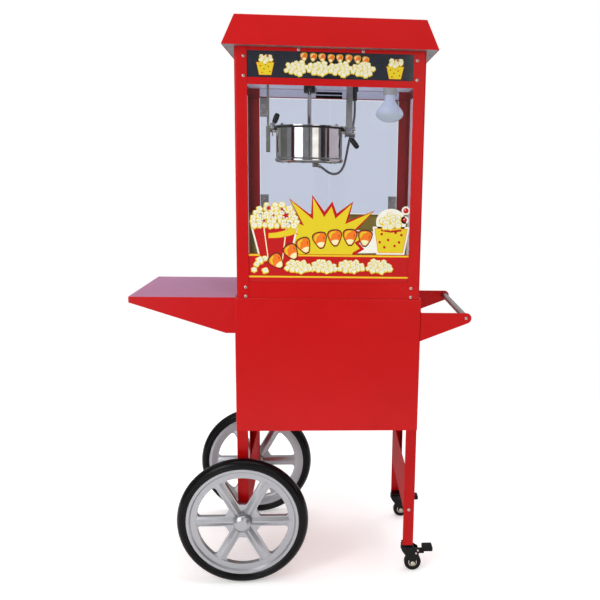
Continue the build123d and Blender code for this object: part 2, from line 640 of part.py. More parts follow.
YOKE_Y, YOKE_Z = 10.6, KETTLE_RIM + 0.3
YOKE_TOP = YOKE_Z + 4.5
TAB_LEFT, TAB_RIGHT = KETTLE_X - KETTLE_RIM_R - 2.0, KETTLE_X + KETTLE_RIM_R + 0.3
HANGER_RIGHT = KETTLE_X + KETTLE_RIM_R + 3.5
HANGER_RIGHT_W = 18.0
LATCH_X = TAB_LEFT - 2.6 - 2.2
LATCH_PIN_X, LATCH_PIN_Z, LATCH_PIN_R, LATCH_LUG_Y = TAB_LEFT + 1.0, YOKE_TOP + 4.0, 1.2, 9.0


def kettle_yoke():
    """A bar over the lid whose turned-down ends carry the two pins that the kettle tips on."""
    tab = 2.6
    yoke = block(TAB_LEFT - tab, TAB_RIGHT + tab, -YOKE_Y, YOKE_Y, YOKE_Z, YOKE_TOP)
    for x0, x1 in ((TAB_LEFT - tab, TAB_LEFT), (TAB_RIGHT, TAB_RIGHT + tab)):
        yoke += block(x0, x1, -YOKE_Y, YOKE_Y, TILT_Z - 16, YOKE_TOP)
    pot = rod_z(KETTLE_BOTTOM, KETTLE_RIM, KETTLE_X, 0, KETTLE_R + 0.02)
    pins = rod_x(TAB_LEFT - 18, TAB_LEFT + 12, 0, TILT_Z, TRUNNION_R)
    hub_x = HANGER_RIGHT + HANGER_RIGHT_W + PLAY
    pins += rod_x(TAB_RIGHT - 10, hub_x + 9, 0, TILT_Z, TRUNNION_R)
    yoke += pins - pot
    yoke += rod_x(hub_x, hub_x + 8, 0, TILT_Z, 15) + hub_tang()
    for y0 in (-LATCH_LUG_Y, LATCH_LUG_Y - 2.4):
        yoke += block(LATCH_PIN_X - 3, LATCH_PIN_X + 3, y0, y0 + 2.4, YOKE_TOP - 0.5, LATCH_PIN_Z + 3)
    yoke -= rod_y(-12, 12, LATCH_PIN_X, LATCH_PIN_Z, LATCH_PIN_R + RUNNING)
    return yoke - rod_z(YOKE_Z - 1, YOKE_TOP + 1, KETTLE_X, 0, ROD_R + RUNNING)


GRIP_TANG = (HANGER_RIGHT + HANGER_RIGHT_W + PLAY + 1, 6.0)     # where it starts, how thick


def hub_tang():
    x, t = GRIP_TANG
    return block(x, x + t, -4, 4, TILT_Z - 26, TILT_Z)


def tip_grip():
    """The moulded grip below the right-hand hub, which tips the kettle."""
    x, t = GRIP_TANG
    return rod_between((x - 4, 0, TILT_Z - 19.5), (x + 11, 0, TILT_Z - 39), 6.5) - hub_tang() - \
        rod_x(x - 2, x + 8, 0, TILT_Z, 15)


LID_PIVOT_Y, LID_PIVOT_Z, LID_BARREL_R = 13.5, KETTLE_RIM + 5.5, 2.3
LID_EDGE = 12.5


def kettle_lid(side):
    """Half of the lid, hinged beside the yoke's bar."""
    z0, z1 = KETTLE_RIM + 0.4, KETTLE_RIM + 3.2
    lid = rod_z(z0, z1, KETTLE_X, 0, KETTLE_RIM_R - 0.5)
    ys = sorted((side * LID_EDGE, side * 120))
    lid &= block(KETTLE_X - 120, KETTLE_X + 120, *ys, z0 - 1, z1 + 1)
    lid += rod_x(KETTLE_X - 45, KETTLE_X + 45, side * LID_PIVOT_Y, LID_PIVOT_Z, LID_BARREL_R)
    web = sorted((side * (LID_PIVOT_Y - 0.8), side * (LID_PIVOT_Y + 0.8)))
    return lid + block(KETTLE_X - 45, KETTLE_X + 45, *web, z1 - 0.5, LID_PIVOT_Z)


def latch_lever():
    """A bent lever pinned on the yoke's left end, and the grip that stands on it."""
    x1, t, z = LATCH_X, 2.5, LATCH_PIN_Z
    lever = block(x1 - t, x1, -6, 6, TILT_Z + 8, z + 1.25)
    lever += block(x1 - t, LATCH_PIN_X + 8, -6, 6, z - 1.25, z + 1.25)
    lever += rod_y(-LATCH_LUG_Y, LATCH_LUG_Y, LATCH_PIN_X, z, LATCH_PIN_R)
    grip = rod_between((x1 + 8, 0, z - 4), (x1 + 17, 0, z + 23), 6.5)
    return [lever, grip - block(x1 - 30, x1 + 60, -14, 14, z - 20, z + 1.25) -
            rod_y(-20, 20, LATCH_PIN_X, z, LATCH_PIN_R)]


LEFT_ARM_X = -177.0


def left_hanger():
    """A flat arm from the ceiling with a bearing block, and the knob that clamps it."""
    x = LEFT_ARM_X
    arm = block(x - 20, x + 14, -20, 20, CEILING - 3, CEILING)
    arm += block(x - 3, x + 3, -9, 9, TILT_Z, CEILING - 3)
    arm += block(x - 5, x + 5, -13, 13, 1216, TILT_Z + 12)
    arm -= rod_x(x - 9, x + 9, 0, TILT_Z, TRUNNION_R + RUNNING)
    knob = rod_x(x - 19, x - 3, 0, 1342, 9)
    return [arm, fillet(knob.edges(), 1.5)]


def right_hanger():
    x0, x1 = HANGER_RIGHT, HANGER_RIGHT + HANGER_RIGHT_W
    arm = block(x0 - 6, x1 + 8, -16, 16, CEILING - 3, CEILING)
    arm += block(x0, x1, -9, 9, TILT_Z, CEILING - 3)
    arm += rod_x(x0, x1, 0, TILT_Z, 14)
    return arm - rod_x(x0 - 1, x1 + 1, 0, TILT_Z, TRUNNION_R + RUNNING)


def lamp_holder():
    return turned([(20, 1384), (20, 1404), (28, 1409), (28, CEILING), (0, CEILING), (0, 1408),
                   (14.2, 1408), (14.2, 1384)], LAMP_X, 0)


def lamp_bulb():
    """A reflector bulb: a domed face, a wide shoulder, a narrow neck and a screw cap."""
    face, shoulder, neck = (0, 0, 1307), (40, 0, 1331), (14, 0, 1374)
    cap_r, cap_z, top = 13.2, 1387, 1407
    outline = [
        ThreePointArc(face, (27, 0, 1313.5), shoulder),
        Spline(shoulder, (31, 0, 1350), neck, tangents=[(0, 0, 1), (-0.1, 0, 1)]),
        Polyline(neck, (cap_r, 0, cap_z), (cap_r, 0, top), (0, 0, top), face),
    ]
    return Pos(LAMP_X, 0, 0) * revolve(make_face(outline), Axis.Z, 360)


# the braided lead hangs from the ceiling behind the right-hand pivot and loops under the kettle
LEAD_R = 3.5
LEAD_ROUTE = [
    (72, 28, 1368), (73, 28, 1338), (70, 29, 1306), (62, 30, 1272), (54, 30, 1238), (49, 29, 1206),
    (42, 26, 1178), (28, 19, 1159), (7, 10, 1156), (-12, 4, 1167), (-29, 0, 1180.5),
]


def lead_socket():
    x, y, z = LEAD_ROUTE[0]
    return rod_z(z + 26, CEILING, x, y, 10) + rod_z(z + 0.4, z + 26, x, y, 6.5)


def bend_radii(route):
    """The largest arc that each corner of a route leaves room for."""
    radii = []
    for before, corner, after in zip(route, route[1:], route[2:]):
        run_in, run_out = Vector(*corner) - Vector(*before), Vector(*after) - Vector(*corner)
        half_turn = math.radians(run_in.get_angle(run_out)) / 2
        radii.append(0.45 * min(run_in.length, run_out.length) / math.tan(half_turn))
    return radii


def kettle_lead():
    radii = bend_radii(LEAD_ROUTE)
    path = FilletPolyline(*LEAD_ROUTE, radius=radii)
    start = Vector(*LEAD_ROUTE[0])
    heading = Vector(*LEAD_ROUTE[1]) - start
    tube = sweep(Plane(origin=start, z_dir=heading) * Circle(LEAD_R), path=path)
    expected = math.pi * LEAD_R ** 2 * path.length
    print("lead length", round(path.length, 1), "volume / expected", round(tube.volume / expected, 4),
          "radii", [round(r) for r in radii])
    return tube


# ---- fasteners ----
POST_SCREW_X = CAB_W / 2 - 24
POST_SCREW_ZS = (826.5, 851.5, 1406.0, 1455.0)
EAVE_SCREW_X, EAVE_SCREW_Z = 84.0, 1474.5
LEG_SCREW_Z = 196.0


def screw_head(x, z, y, side):
    """A round screw head standing on a face at y."""
    head = rod_y(0, 2.6, 0, 0, 4.5)
    head = fillet(head.edges().group_by(Axis.Y)[-1], 2)
    return Pos(x, y, z) * Rot(0, 0, 0 if side > 0 else 180) * head


def round_head_screws():
    heads = []
    for side in (-1, 1):
        face = side * CAB_D / 2
        heads += [screw_head(sx * POST_SCREW_X, z, face, side) for sx in (-1, 1) for z in POST_SCREW_ZS]
        heads.append(screw_head(CASTER_X, LEG_SCREW_Z, side * INNER_Y, side))
        tip_x = CART_W / 2 + HANDLE_REACH - HANDLE_TIP_R
        heads.append(screw_head(tip_x, HANDLE_Z, side * (CART_D / 2 + 1.5), side))
    heads += [screw_head(sx * EAVE_SCREW_X, EAVE_SCREW_Z, -TRAY_Y, -1) for sx in (-1, 1)]
    return heads


# ---- write every node ----
os.makedirs("parts", exist_ok=True)

write("cart_shell", cart_shell())
write("cart_deck", cart_deck())
write("cart_floor", cart_floor())
write("cart_legs", *left_legs(), *right_legs())
write("leg_ties", *[leg_tie(side) for side in (-1, 1)])
write("axle", axle())
write("side_shelf", side_shelf())
write("handle_brackets", *[handle_bracket(sy) for sy in (-1, 1)])
write("handle_tube", handle_tube())
write("storage_door", storage_door(), storage_door_handle())
write("hub_caps", *[hub_cap(side) for side in (-1, 1)])
write("caster_plates", *[caster_plate(side) for side in (-1, 1)])
for name, side in (("front", -1), ("rear", 1)):
    write(f"{name}_wheel_rim", wheel_rim(side))
    write(f"{name}_wheel_tyre", wheel_tyre(side))
    write(f"{name}_caster_fork", caster_fork(side))
    write(f"{name}_caster_wheel", caster_wheel(side))
    write(f"{name}_caster_brake", caster_brake(side))
    write(f"kettle_{name}_lid", kettle_lid(side))

write("corner_posts", *four_corners(corner_post))
write("machine_base", machine_base())
write("popping_floor", popping_floor())
write("kernel_drawer", kernel_drawer())
write("front_glass", front_glass())
write("side_glasses", *[side_glass(side) for side in (-1, 1)])
write("header_frame", header_frame())
write("sign_panel", sign_panel())
write("rear_header", rear_header())
write("rear_sill", rear_sill())
write("ceiling_plate", ceiling_plate())
write("roof_tray", roof_tray())
write("roof_canopy", roof_canopy())
for name, sx in (("left", -1), ("right", 1)):
    write(f"{name}_door_glass", glass_door(sx))
    write(f"{name}_door_fittings", *door_fittings(sx))
write("power_inlet", power_inlet())
for name, x in zip(("heat", "light", "stir"), SWITCH_XS):
    write(f"{name}_switch", rocker_switch(x))

write("drive_motor", drive_motor())
write("drive_collar", drive_collar())
write("stirrer", stirrer())
write("kettle_pot", kettle_pot())
write("kettle_heater", kettle_heater())
write("kettle_yoke", kettle_yoke())
write("tip_grip", tip_grip())
write("latch_lever", *latch_lever())
write("left_hanger", *left_hanger())
write("right_hanger", right_hanger())
write("lamp_holder", lamp_holder())
write("lamp_bulb", lamp_bulb())
write("lead_socket", lead_socket())
write("kettle_lead", kettle_lead())
write("round_head_screws", *round_head_screws())
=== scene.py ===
# %% [markdown]
# # A popcorn machine on its cart
#
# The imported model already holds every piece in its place. This lesson adds what the engineering
# model leaves out: finishes, printed film, polished and moulded detail, a studio and a camera.

import math
import random
from collections import namedtuple

import bmesh
import bpy
from mathutils.geometry import tessellate_polygon
from mathutils import Matrix, Vector


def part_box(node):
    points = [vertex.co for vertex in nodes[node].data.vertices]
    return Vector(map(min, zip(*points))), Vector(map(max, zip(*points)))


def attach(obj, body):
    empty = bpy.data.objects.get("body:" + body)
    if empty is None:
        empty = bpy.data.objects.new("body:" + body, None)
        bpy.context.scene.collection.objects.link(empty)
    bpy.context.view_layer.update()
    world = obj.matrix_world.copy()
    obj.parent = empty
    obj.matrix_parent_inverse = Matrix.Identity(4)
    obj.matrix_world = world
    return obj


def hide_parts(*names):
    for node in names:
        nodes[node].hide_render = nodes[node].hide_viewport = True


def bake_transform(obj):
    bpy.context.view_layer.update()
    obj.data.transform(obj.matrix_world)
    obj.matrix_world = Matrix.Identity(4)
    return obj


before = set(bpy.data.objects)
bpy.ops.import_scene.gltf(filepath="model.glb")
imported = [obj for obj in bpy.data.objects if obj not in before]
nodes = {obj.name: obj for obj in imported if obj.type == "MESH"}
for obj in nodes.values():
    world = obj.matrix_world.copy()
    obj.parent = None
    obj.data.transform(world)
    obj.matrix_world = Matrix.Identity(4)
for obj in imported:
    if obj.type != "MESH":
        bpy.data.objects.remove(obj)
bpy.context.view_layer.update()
scene = bpy.context.scene

# %% [markdown]
# ## One set of drawing axes
#
# The machine's maker measures from the middle of the cabinet, in millimetres. The row measures
# from the middle of the footprint, in metres. All shapes below are drawn in the maker's way, and
# one matrix carries them over, so that a number here means the same as a number on a drawing.

# %% Drawing axes
MM = 0.001
sign_low, sign_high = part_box("sign_panel")
CENTRE_X = (sign_low.x + sign_high.x) / 2
TO_ROW = Matrix.Translation((CENTRE_X, 0, 0)) @ Matrix.Scale(MM, 4)
FROM_ROW = TO_ROW.inverted()


def box_mm(node):
    """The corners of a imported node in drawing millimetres."""
    low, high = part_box(node)
    return FROM_ROW @ low, FROM_ROW @ high


print("cabinet centre at x =", round(CENTRE_X, 5), "m")

# %% [markdown]
# ## The camera
#
# A catalogue picture is taken from a few metres away at chest height, a little to the left of the
# machine and tilted down. The picture is cropped off centre, which a lens shift imitates.

# %% Camera
yaw, pitch, roll = math.radians(3.75), math.radians(9.93), math.radians(1.1)
ahead = Vector((math.sin(yaw) * math.cos(pitch), math.cos(yaw) * math.cos(pitch), -math.sin(pitch)))
level_right = ahead.cross(Vector((0, 0, 1))).normalized()
level_up = level_right.cross(ahead)
right = level_right * math.cos(roll) + level_up * math.sin(roll)
up = level_up * math.cos(roll) - level_right * math.sin(roll)
lens = bpy.data.cameras.new("studio_camera")
lens.lens, lens.sensor_width = 43.03, 36.0
lens.shift_x, lens.shift_y = -0.1152, -0.0105
camera = bpy.data.objects.new("studio_camera", lens)
turn = Matrix((right, up, -ahead)).transposed().to_4x4()
camera.matrix_world = Matrix.Translation(TO_ROW @ Vector((-16.42, -2125.18, 1176.12))) @ turn
scene.collection.objects.link(camera)
scene.camera = camera
scene.view_settings.view_transform = "Standard"
print("camera at", [round(v, 3) for v in camera.location], "lens", lens.lens)

# %% [markdown]
# ## Building blocks for shapes
#
# Turned, bent and flat pieces are all lofts: rows of points joined by faces. One loft function
# keeps every piece a closed mesh, which later steps such as bevels rely on.

# %% Shape helpers
AXES = {"X": ((0, 1, 0), (0, 0, 1), (1, 0, 0)), "Y": ((1, 0, 0), (0, 0, 1), (0, -1, 0)),
        "Z": ((1, 0, 0), (0, 1, 0), (0, 0, 1))}


def loft(bm, rings, loop=False):
    """Joins rows of points with faces; a loop closes on itself, anything else gets end caps."""
    rows = [[bm.verts.new(p) for p in ring] for ring in rings]
    pairs = list(zip(rows, rows[1:])) + ([(rows[-1], rows[0])] if loop else [])
    for a, b in pairs:
        for i in range(len(a)):
            j = (i + 1) % len(a)
            bm.faces.new((a[i], a[j], b[j], b[i]))
    if not loop:
        bm.faces.new(rows[0][::-1])
        bm.faces.new(rows[-1])


def circle(centre, u, v, radius, steps):
    angles = [2 * math.pi * i / steps for i in range(steps)]
    return [centre + u * (radius * math.cos(a)) + v * (radius * math.sin(a)) for a in angles]


def turned(bm, profile, centre, axis="Z", steps=64, loop=False):
    """Revolves (radius, height) pairs about an axis through centre."""
    u, v, w = (Vector(a) for a in AXES[axis])
    loft(bm, [circle(Vector(centre) + w * h, u, v, r, steps) for r, h in profile], loop)


def along(bm, profile, start, end, steps=24):
    """Revolves (radius, distance) pairs about the line from start to end."""
    start, end = Vector(start), Vector(end)
    w = (end - start).normalized()
    u = w.orthogonal().normalized()
    loft(bm, [circle(start + w * h, u, w.cross(u), r, steps) for r, h in profile])


def tube(bm, path, radius, steps=16):
    """A round tube that follows points, turned as little as possible from one to the next."""
    points = [Vector(p) for p in path]
    rings, u = [], None
    for i, point in enumerate(points):
        w = (points[min(i + 1, len(points) - 1)] - points[max(i - 1, 0)]).normalized()
        u = w.orthogonal() if u is None else u - w * u.dot(w)
        u.normalize()
        rings.append(circle(point, u, w.cross(u), radius, steps))
    loft(bm, rings)


def turned_out(bm, profile, centre, side, steps, loop=False):
    """Revolves (radius, distance out) about y; side is -1 where out is towards the front."""
    x, y, z = centre
    loft(bm, [circle(Vector((x, y + side * out, z)), Vector((1, 0, 0)), Vector((0, 0, 1)), r, steps)
              for r, out in profile], loop)


def slab(bm, x0, x1, y0, y1, z0, z1):
    corners = [(x0, y0), (x1, y0), (x1, y1), (x0, y1)]
    loft(bm, [[Vector((x, y, z)) for x, y in corners] for z in (z0, z1)])


def plate(bm, outline, y0, y1):
    """A flat plate with an outline in x and z."""
    loft(bm, [[Vector((x, y, z)) for x, z in outline] for y in (y0, y1)])


def pierced_plate(bm, outline, hole, y0, y1):
    """A flat plate with an outline in x and z and one hole through it."""
    rims = [[Vector((x, 0, z)) for x, z in rim] for rim in (outline, hole)]
    layers = [[bm.verts.new((p.x, y, p.z)) for rim in rims for p in rim] for y in (y0, y1)]
    for corners in tessellate_polygon(rims):
        for layer in layers:
            bm.faces.new([layer[i] for i in corners])
    start = 0
    for rim in rims:
        for k in range(len(rim)):
            a, b = start + k, start + (k + 1) % len(rim)
            bm.faces.new([layers[0][a], layers[0][b], layers[1][b], layers[1][a]])
        start += len(rim)


print("shape helpers ready")

# %% [markdown]
# ## From shape to piece
#
# Each new mesh has to ride on a body of the model, name the finish that it stands for and, where
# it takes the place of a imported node, say so. Edges that are folded or moulded on the real
# machine are never knife sharp, so a bevel catches a thin line of light along them.

# %% Piece helper
def round_edges(obj, width_mm, segments=2):
    edge = obj.modifiers.new("edge", "BEVEL")
    edge.width, edge.segments = width_mm * MM, segments
    edge.limit_method, edge.angle_limit = "ANGLE", math.radians(35)
    return edge


def piece(name, bm, finish, body="root", stands_for=(), bevel=0.0, sharp=35):
    bmesh.ops.recalc_face_normals(bm, faces=bm.faces)
    bmesh.ops.transform(bm, matrix=TO_ROW, verts=bm.verts)
    mesh = bpy.data.meshes.new(name)
    bm.to_mesh(mesh)
    bm.free()
    mesh.shade_smooth()
    mesh.set_sharp_from_angle(angle=math.radians(sharp))
    mesh.materials.append(finish)
    obj = bpy.data.objects.new(name, mesh)
    scene.collection.objects.link(obj)
    if bevel:
        round_edges(obj, bevel)
    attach(obj, body)
    if stands_for:
        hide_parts(*stands_for)
    print(name, len(mesh.polygons), "faces on", body)
    return obj


# %% [markdown]
# ## Colour and nodes
#
# Paint makers give colours as hex values, which are meant for screens. Shaders add up light, so
# they need linear values. One function converts, and one adds a node with its settings and links.

# %% Material helpers
def linear(hex_colour):
    channels = [int(hex_colour[i:i + 2], 16) / 255 for i in (1, 3, 5)]
    return [c / 12.92 if c <= 0.04045 else ((c + 0.055) / 1.055) ** 2.4 for c in channels] + [1.0]


def add(tree, kind, inputs=None, **settings):
    """Adds a node. inputs gives each socket a value, or an output of another node to link."""
    made = tree.nodes.new(kind)
    for key, value in settings.items():
        setattr(made, key, value)
    for key, value in (inputs or {}).items():
        if isinstance(value, bpy.types.NodeSocket):
            tree.links.new(value, made.inputs[key])
        else:
            made.inputs[key].default_value = value
    return made


def object_place(tree, scale=(1, 1, 1)):
    """Object coordinates in millimetres, stretched if asked."""
    place = add(tree, "ShaderNodeTexCoord")
    return add(tree, "ShaderNodeMapping", {"Vector": place.outputs["Object"],
                                          "Scale": [1000 * s for s in scale]}).outputs["Vector"]


# a pattern of soft lumps that are size_mm across
Noise = namedtuple("Noise", "size_mm detail stretch", defaults=(3.0, (1, 1, 1)))


def surface(name, dark, light, colour_by, gloss=(), gloss_by=None,
            relief_by=None, relief_mm=0.0, relief_strength=0.0, **values):
    """A material with one Principled shader; returns the material, its tree and the shader.

    Its colour, roughness and relief follow the patterns colour_by, gloss_by and relief_by. Each is
    a Noise, or a function that draws a pattern of its own in the tree. gloss is the lowest and the
    highest roughness. The other values set sockets of the shader.
    """
    made = bpy.data.materials.new(name)
    made.use_nodes = True
    tree = made.node_tree
    shader = tree.nodes["Principled BSDF"]
    for key, value in values.items():
        shader.inputs[key.replace("_", " ")].default_value = value
    drawn = {}
    for by in (colour_by, gloss_by, relief_by):
        if callable(by):
            drawn[by] = drawn.get(by) or by(tree)
        elif by and by not in drawn:
            drawn[by] = add(tree, "ShaderNodeTexNoise",
                            {"Vector": object_place(tree, by.stretch), "Scale": 1 / by.size_mm,
                             "Detail": by.detail}).outputs["Fac"]
    ramp = add(tree, "ShaderNodeValToRGB", {"Fac": drawn[colour_by]})
    for stop, colour, position in zip(ramp.color_ramp.elements, (dark, light), (0.3, 0.7)):
        stop.color, stop.position = linear(colour), position
    tree.links.new(ramp.outputs["Color"], shader.inputs["Base Color"])
    if gloss:
        sheen = add(tree, "ShaderNodeMapRange",
                    {"Value": drawn[gloss_by], "To Min": gloss[0], "To Max": gloss[1]})
        tree.links.new(sheen.outputs["Result"], shader.inputs["Roughness"])
    if relief_by:
        bump = add(tree, "ShaderNodeBump", {"Height": drawn[relief_by], "Distance": relief_mm * MM,
                                            "Strength": relief_strength})
        tree.links.new(bump.outputs["Normal"], shader.inputs["Normal"])
    return made, tree, shader


print("material helpers ready")

# %% [markdown]
# ## Powder coat
#
# The sheet steel is sprayed with dry polyester powder and baked. It melts into a thick gloss skin
# that never levels completely, so reflections have a slight orange peel with lumps of about 2 mm.
# The pigment is even, and only handling and dust change it a little over a hand's breadth.

# %% Red powder coat
def powder_coat(name, dark, light, roughness, specular=0.2, **values):
    gloss = (roughness - 0.04, roughness + 0.05)
    return surface(name, dark, light, Noise(140), gloss, Noise(45), Noise(2.2, 1.0), 0.03, 0.5,
                   IOR=1.5, Specular_IOR_Level=specular, **values)[0]


red_powder_coat = powder_coat("polyester_powder_coat_red", "#B40609", "#BA070C", 0.30)
shelf_powder_coat = powder_coat("polyester_powder_coat_red_shelf", "#B2060A", "#B8080D", 0.30,
                                Sheen_Weight=0.95, Sheen_Roughness=0.35,
                                Sheen_Tint=linear("#AFC3FF"))
# the legs get a darker red than the cabinet: painted shade, as they stand under the machine
leg_powder_coat_painted_shade = powder_coat("polyester_powder_coat_red_legs_painted_shade", "#A60509", "#AC060B", 0.34, 0.14)
# the tie plates get a darker red as well: painted shade on faces turned from the light; their low
# gloss keeps them matt
tie_powder_coat_painted_shade = powder_coat("polyester_powder_coat_red_matt_painted_shade", "#A80408", "#AE050A", 0.62, 0.06)
print("powder coats ready")

# %% [markdown]
# ## Stainless steel, polished and brushed
#
# The kettle is spun from stainless sheet and buffed, so it mirrors the room in tall streaks. The
# handle tube and the sheets in the cabinet keep the fine lines of a belt. Both are bare metal:
# the colour is the metal's reflection, and the lines are long, thin noise along the belt.

# %% Stainless steel
def bare_metal(name, dark, light, roughness, line_mm=0.6, along_axis="X", depth_mm=0.01, wear=0.05):
    stretch = {"X": (0.02, 1, 1), "Y": (1, 0.02, 1), "Z": (1, 1, 0.02)}[along_axis]
    lines = Noise(line_mm, 2.0, stretch)
    gloss = (roughness - wear, roughness + wear)
    return surface(name, dark, light, Noise(30), gloss, lines, lines, depth_mm, 0.4,
                   Metallic=1.0)[0]


polished_stainless = bare_metal("stainless_steel_buffed", "#CFCAC0", "#E0DBD2", 0.09, 0.8, "Z",
                                0.004, 0.03)
brushed_stainless = bare_metal("stainless_steel_brushed", "#9E9B98", "#B8B5B1", 0.34, 0.7, "X")
tube_stainless = bare_metal("stainless_tube_brushed", "#A8A3A2", "#BDB9B8", 0.30, 0.7, "Y")
zinc_plated = bare_metal("steel_zinc_plated", "#A5A28E", "#C4C1AC", 0.38, 1.5, "Z", 0.01, 0.08)
galvanised = bare_metal("steel_galvanised", "#9A9EA4", "#B6B9BD", 0.48, 6.0, "X", 0.02, 0.08)
sill_painted_reflection = bare_metal("stainless_steel_brushed_painted_reflection", "#B3A55C", "#C9BC76", 0.40, 0.9, "X",
                            0.01, 0.05)

# the sill's inner face is tinted warm yellow and half metallic, a painted reflection of the print on
# the glass; its outer face is bare steel
SILL_OUTSIDE = 182.9
tree = sill_painted_reflection.node_tree
sill_shader = tree.nodes["Principled BSDF"]
depth = add(tree, "ShaderNodeSeparateXYZ", {"Vector": object_place(tree)}).outputs["Y"]
outer = add(tree, "ShaderNodeMath", {0: depth, 1: SILL_OUTSIDE},
            operation="GREATER_THAN").outputs[0]
print_reflection_tint = add(tree, "ShaderNodeMix", {"Factor": outer}, data_type="RGBA")
print_reflection_tint.inputs["A"].default_value = linear("#DCC04C")
print_reflection_tint.inputs["B"].default_value = linear("#B4B1AC")
bare = add(tree, "ShaderNodeMapRange", {"Value": outer, "To Min": 0.3, "To Max": 1.0})
tree.links.new(print_reflection_tint.outputs["Result"], sill_shader.inputs["Base Color"])
tree.links.new(bare.outputs["Result"], sill_shader.inputs["Metallic"])
# the nickel plate is tinted pink, a painted reflection of the red paint round the screws
screw_steel_painted_red_reflection = bare_metal("steel_screw_nickel_plated_painted_reflection", "#B5A39F", "#CBBBB7", 0.30, 0.5, "X", 0.003)
print("metals ready")

# %% [markdown]
# ## White enamel
#
# The head's lining is white stoved enamel, so that the lamp lights the corn. It is a smooth, hard
# gloss with a faint cool cast, and a faint glow is painted light that keeps it from looking grey.

# %% White enamel
liner_painted_glow = surface("enamel_stoved_white_painted_glow", "#DCE0EC", "#E6E9F3", Noise(60), (0.25, 0.35),
                      Noise(30),
                      IOR=1.5, Emission_Color=linear("#C9D0E6"), Emission_Strength=0.22)[0]
print("enamel ready")

# %% [markdown]
# ## Silver wheel paint
#
# The wheels are moulded in grey plastic and sprayed silver. Flakes of aluminium in the paint give
# a sparkle too fine to show at this size, so it is drawn at 1 mm instead of 0.05 mm.

# %% Silver paint
silver_paint = surface("silver_flake_paint", "#96979C", "#ACADB2", Noise(1.0), (0.28, 0.34),
                       Noise(25),
                       Noise(1.6), 0.01, 0.25, Metallic=0.88, Coat_Weight=0.2,
                       Coat_Roughness=0.2)[0]
print("silver paint ready")

# %% [markdown]
# ## Rubber, nylon and phenolic
#
# The tyres are solid rubber from a polished mould, with a waxy gloss. Caster treads and nylon are
# duller, because their moulds are spark eroded and leave a fine grain. Grips and knobs are
# phenolic, the old hard black plastic, which is polished like a billiard ball.

# %% Black materials
def moulded(name, dark, light, roughness, grain_mm, depth_mm, ior=1.5, **values):
    gloss = (roughness - 0.05, roughness + 0.07)
    return surface(name, dark, light, Noise(18), gloss, Noise(9), Noise(grain_mm, 2.0), depth_mm,
                   0.5, IOR=ior, **values)[0]


DULL = {"Specular_IOR_Level": 0.22}
tyre_rubber = moulded("rubber_moulded_gloss", "#050507", "#09090C", 0.24, 1.5, 0.02, 1.38, **DULL)
caster_rubber = moulded("rubber_moulded_dull", "#050505", "#0A0909", 0.34, 1.0, 0.04, 1.4, **DULL)
black_nylon = moulded("nylon_moulded", "#050505", "#0A0A0A", 0.30, 0.9, 0.03, 1.38, **DULL)
black_phenolic = moulded("phenolic_polished", "#040405", "#08080A", 0.18, 3.0, 0.01, 1.42)
lamp_ceramic = moulded("ceramic_glazed", "#D9D5C9", "#E6E2D8", 0.20, 2.0, 0.02, 1.5)
sign_acrylic = moulded("acrylic_sheet_black_backed", "#191D29", "#20242F", 0.09, 40.0, 0.01, 1.49)
caster_black = moulded("steel_e_coated_black", "#050505", "#0B0A0A", 0.26, 2.0, 0.02, 1.42, **DULL)
rocker_plastic = moulded("abs_rocker_red", "#B81218", "#CC1A20", 0.28, 1.0, 0.02, 1.5)
print("black materials ready")

# %% [markdown]
# ## Glass
#
# Tempered float glass is clear, and a real render of its thickness costs much light and noise. It
# is drawn as a sheet that lets light straight through with a faint tint and mirrors a little more
# the flatter it is seen, which is what Fresnel gives. Only the outer faces mirror, because a ray
# that leaves the glass from inside would be thrown back by the same node. The tint is cool.

# %% Clear glass
def sheet_glass(name, colour, mirror_roughness):
    made = bpy.data.materials.new(name)
    made.use_nodes = True
    tree = made.node_tree
    tree.nodes.clear()
    through = add(tree, "ShaderNodeBsdfTransparent", {"Color": linear(colour)})
    mirror = add(tree, "ShaderNodeBsdfGlossy", {"Color": linear("#FFFFFF"),
                                                "Roughness": mirror_roughness})
    edge = add(tree, "ShaderNodeFresnel", {"IOR": 1.45})
    inside = add(tree, "ShaderNodeNewGeometry").outputs["Backfacing"]
    outside = add(tree, "ShaderNodeMath", {0: 1.0, 1: inside}, operation="SUBTRACT").outputs[0]
    share = add(tree, "ShaderNodeMath", {0: edge.outputs[0], 1: outside}, operation="MULTIPLY")
    both = add(tree, "ShaderNodeMixShader", {0: share.outputs[0], 1: through.outputs[0],
                                             2: mirror.outputs[0]})
    add(tree, "ShaderNodeOutputMaterial", {"Surface": both.outputs[0]})
    return made


clear_glass = sheet_glass("float_glass_tempered", "#EFF1F6", 0.03)
print("glass ready")

# %% [markdown]
# ## Frosted lamp glass
#
# A reflector lamp has a clear coat of silver inside its neck and a frosted face. Its colour runs
# from grey at the face to pale blue at the shoulder, a painted reflection of the room, and a faint
# glow is painted light that stands in for light spreading in the frost.

# %% Lamp glass
LAMP_FACE, LAMP_SHOULDER = 1312.0, 1352.0


def up_the_bulb(tree):
    """From 0 at the lamp's face to 1 at its shoulder."""
    height = add(tree, "ShaderNodeSeparateXYZ", {"Vector": object_place(tree)}).outputs["Z"]
    return add(tree, "ShaderNodeMapRange",
               {"Value": height, "From Min": LAMP_FACE, "From Max": LAMP_SHOULDER}).outputs[0]


bulb_painted_reflection_glow = surface("lamp_glass_frosted_painted_reflection_glow", "#C9D4CC", "#EEF4FD", up_the_bulb,
                     relief_by=Noise(1.2), relief_mm=0.01, relief_strength=0.3,
                     Roughness=0.22, IOR=1.5, Coat_Weight=0.4, Coat_Roughness=0.05,
                     Emission_Color=linear("#C9D3E6"), Emission_Strength=0.30)[0]
print("lamp glass ready")

# %% [markdown]
# ## Braided sleeve
#
# The lead to the kettle runs in a glass-fibre braid that stands the heat. Its strands cross at 45
# degrees and are 0.7 mm wide, drawn here at 1.2 mm. Two sets of diagonal waves, one each way
# round the tube, multiply to the diamond look of a braid.

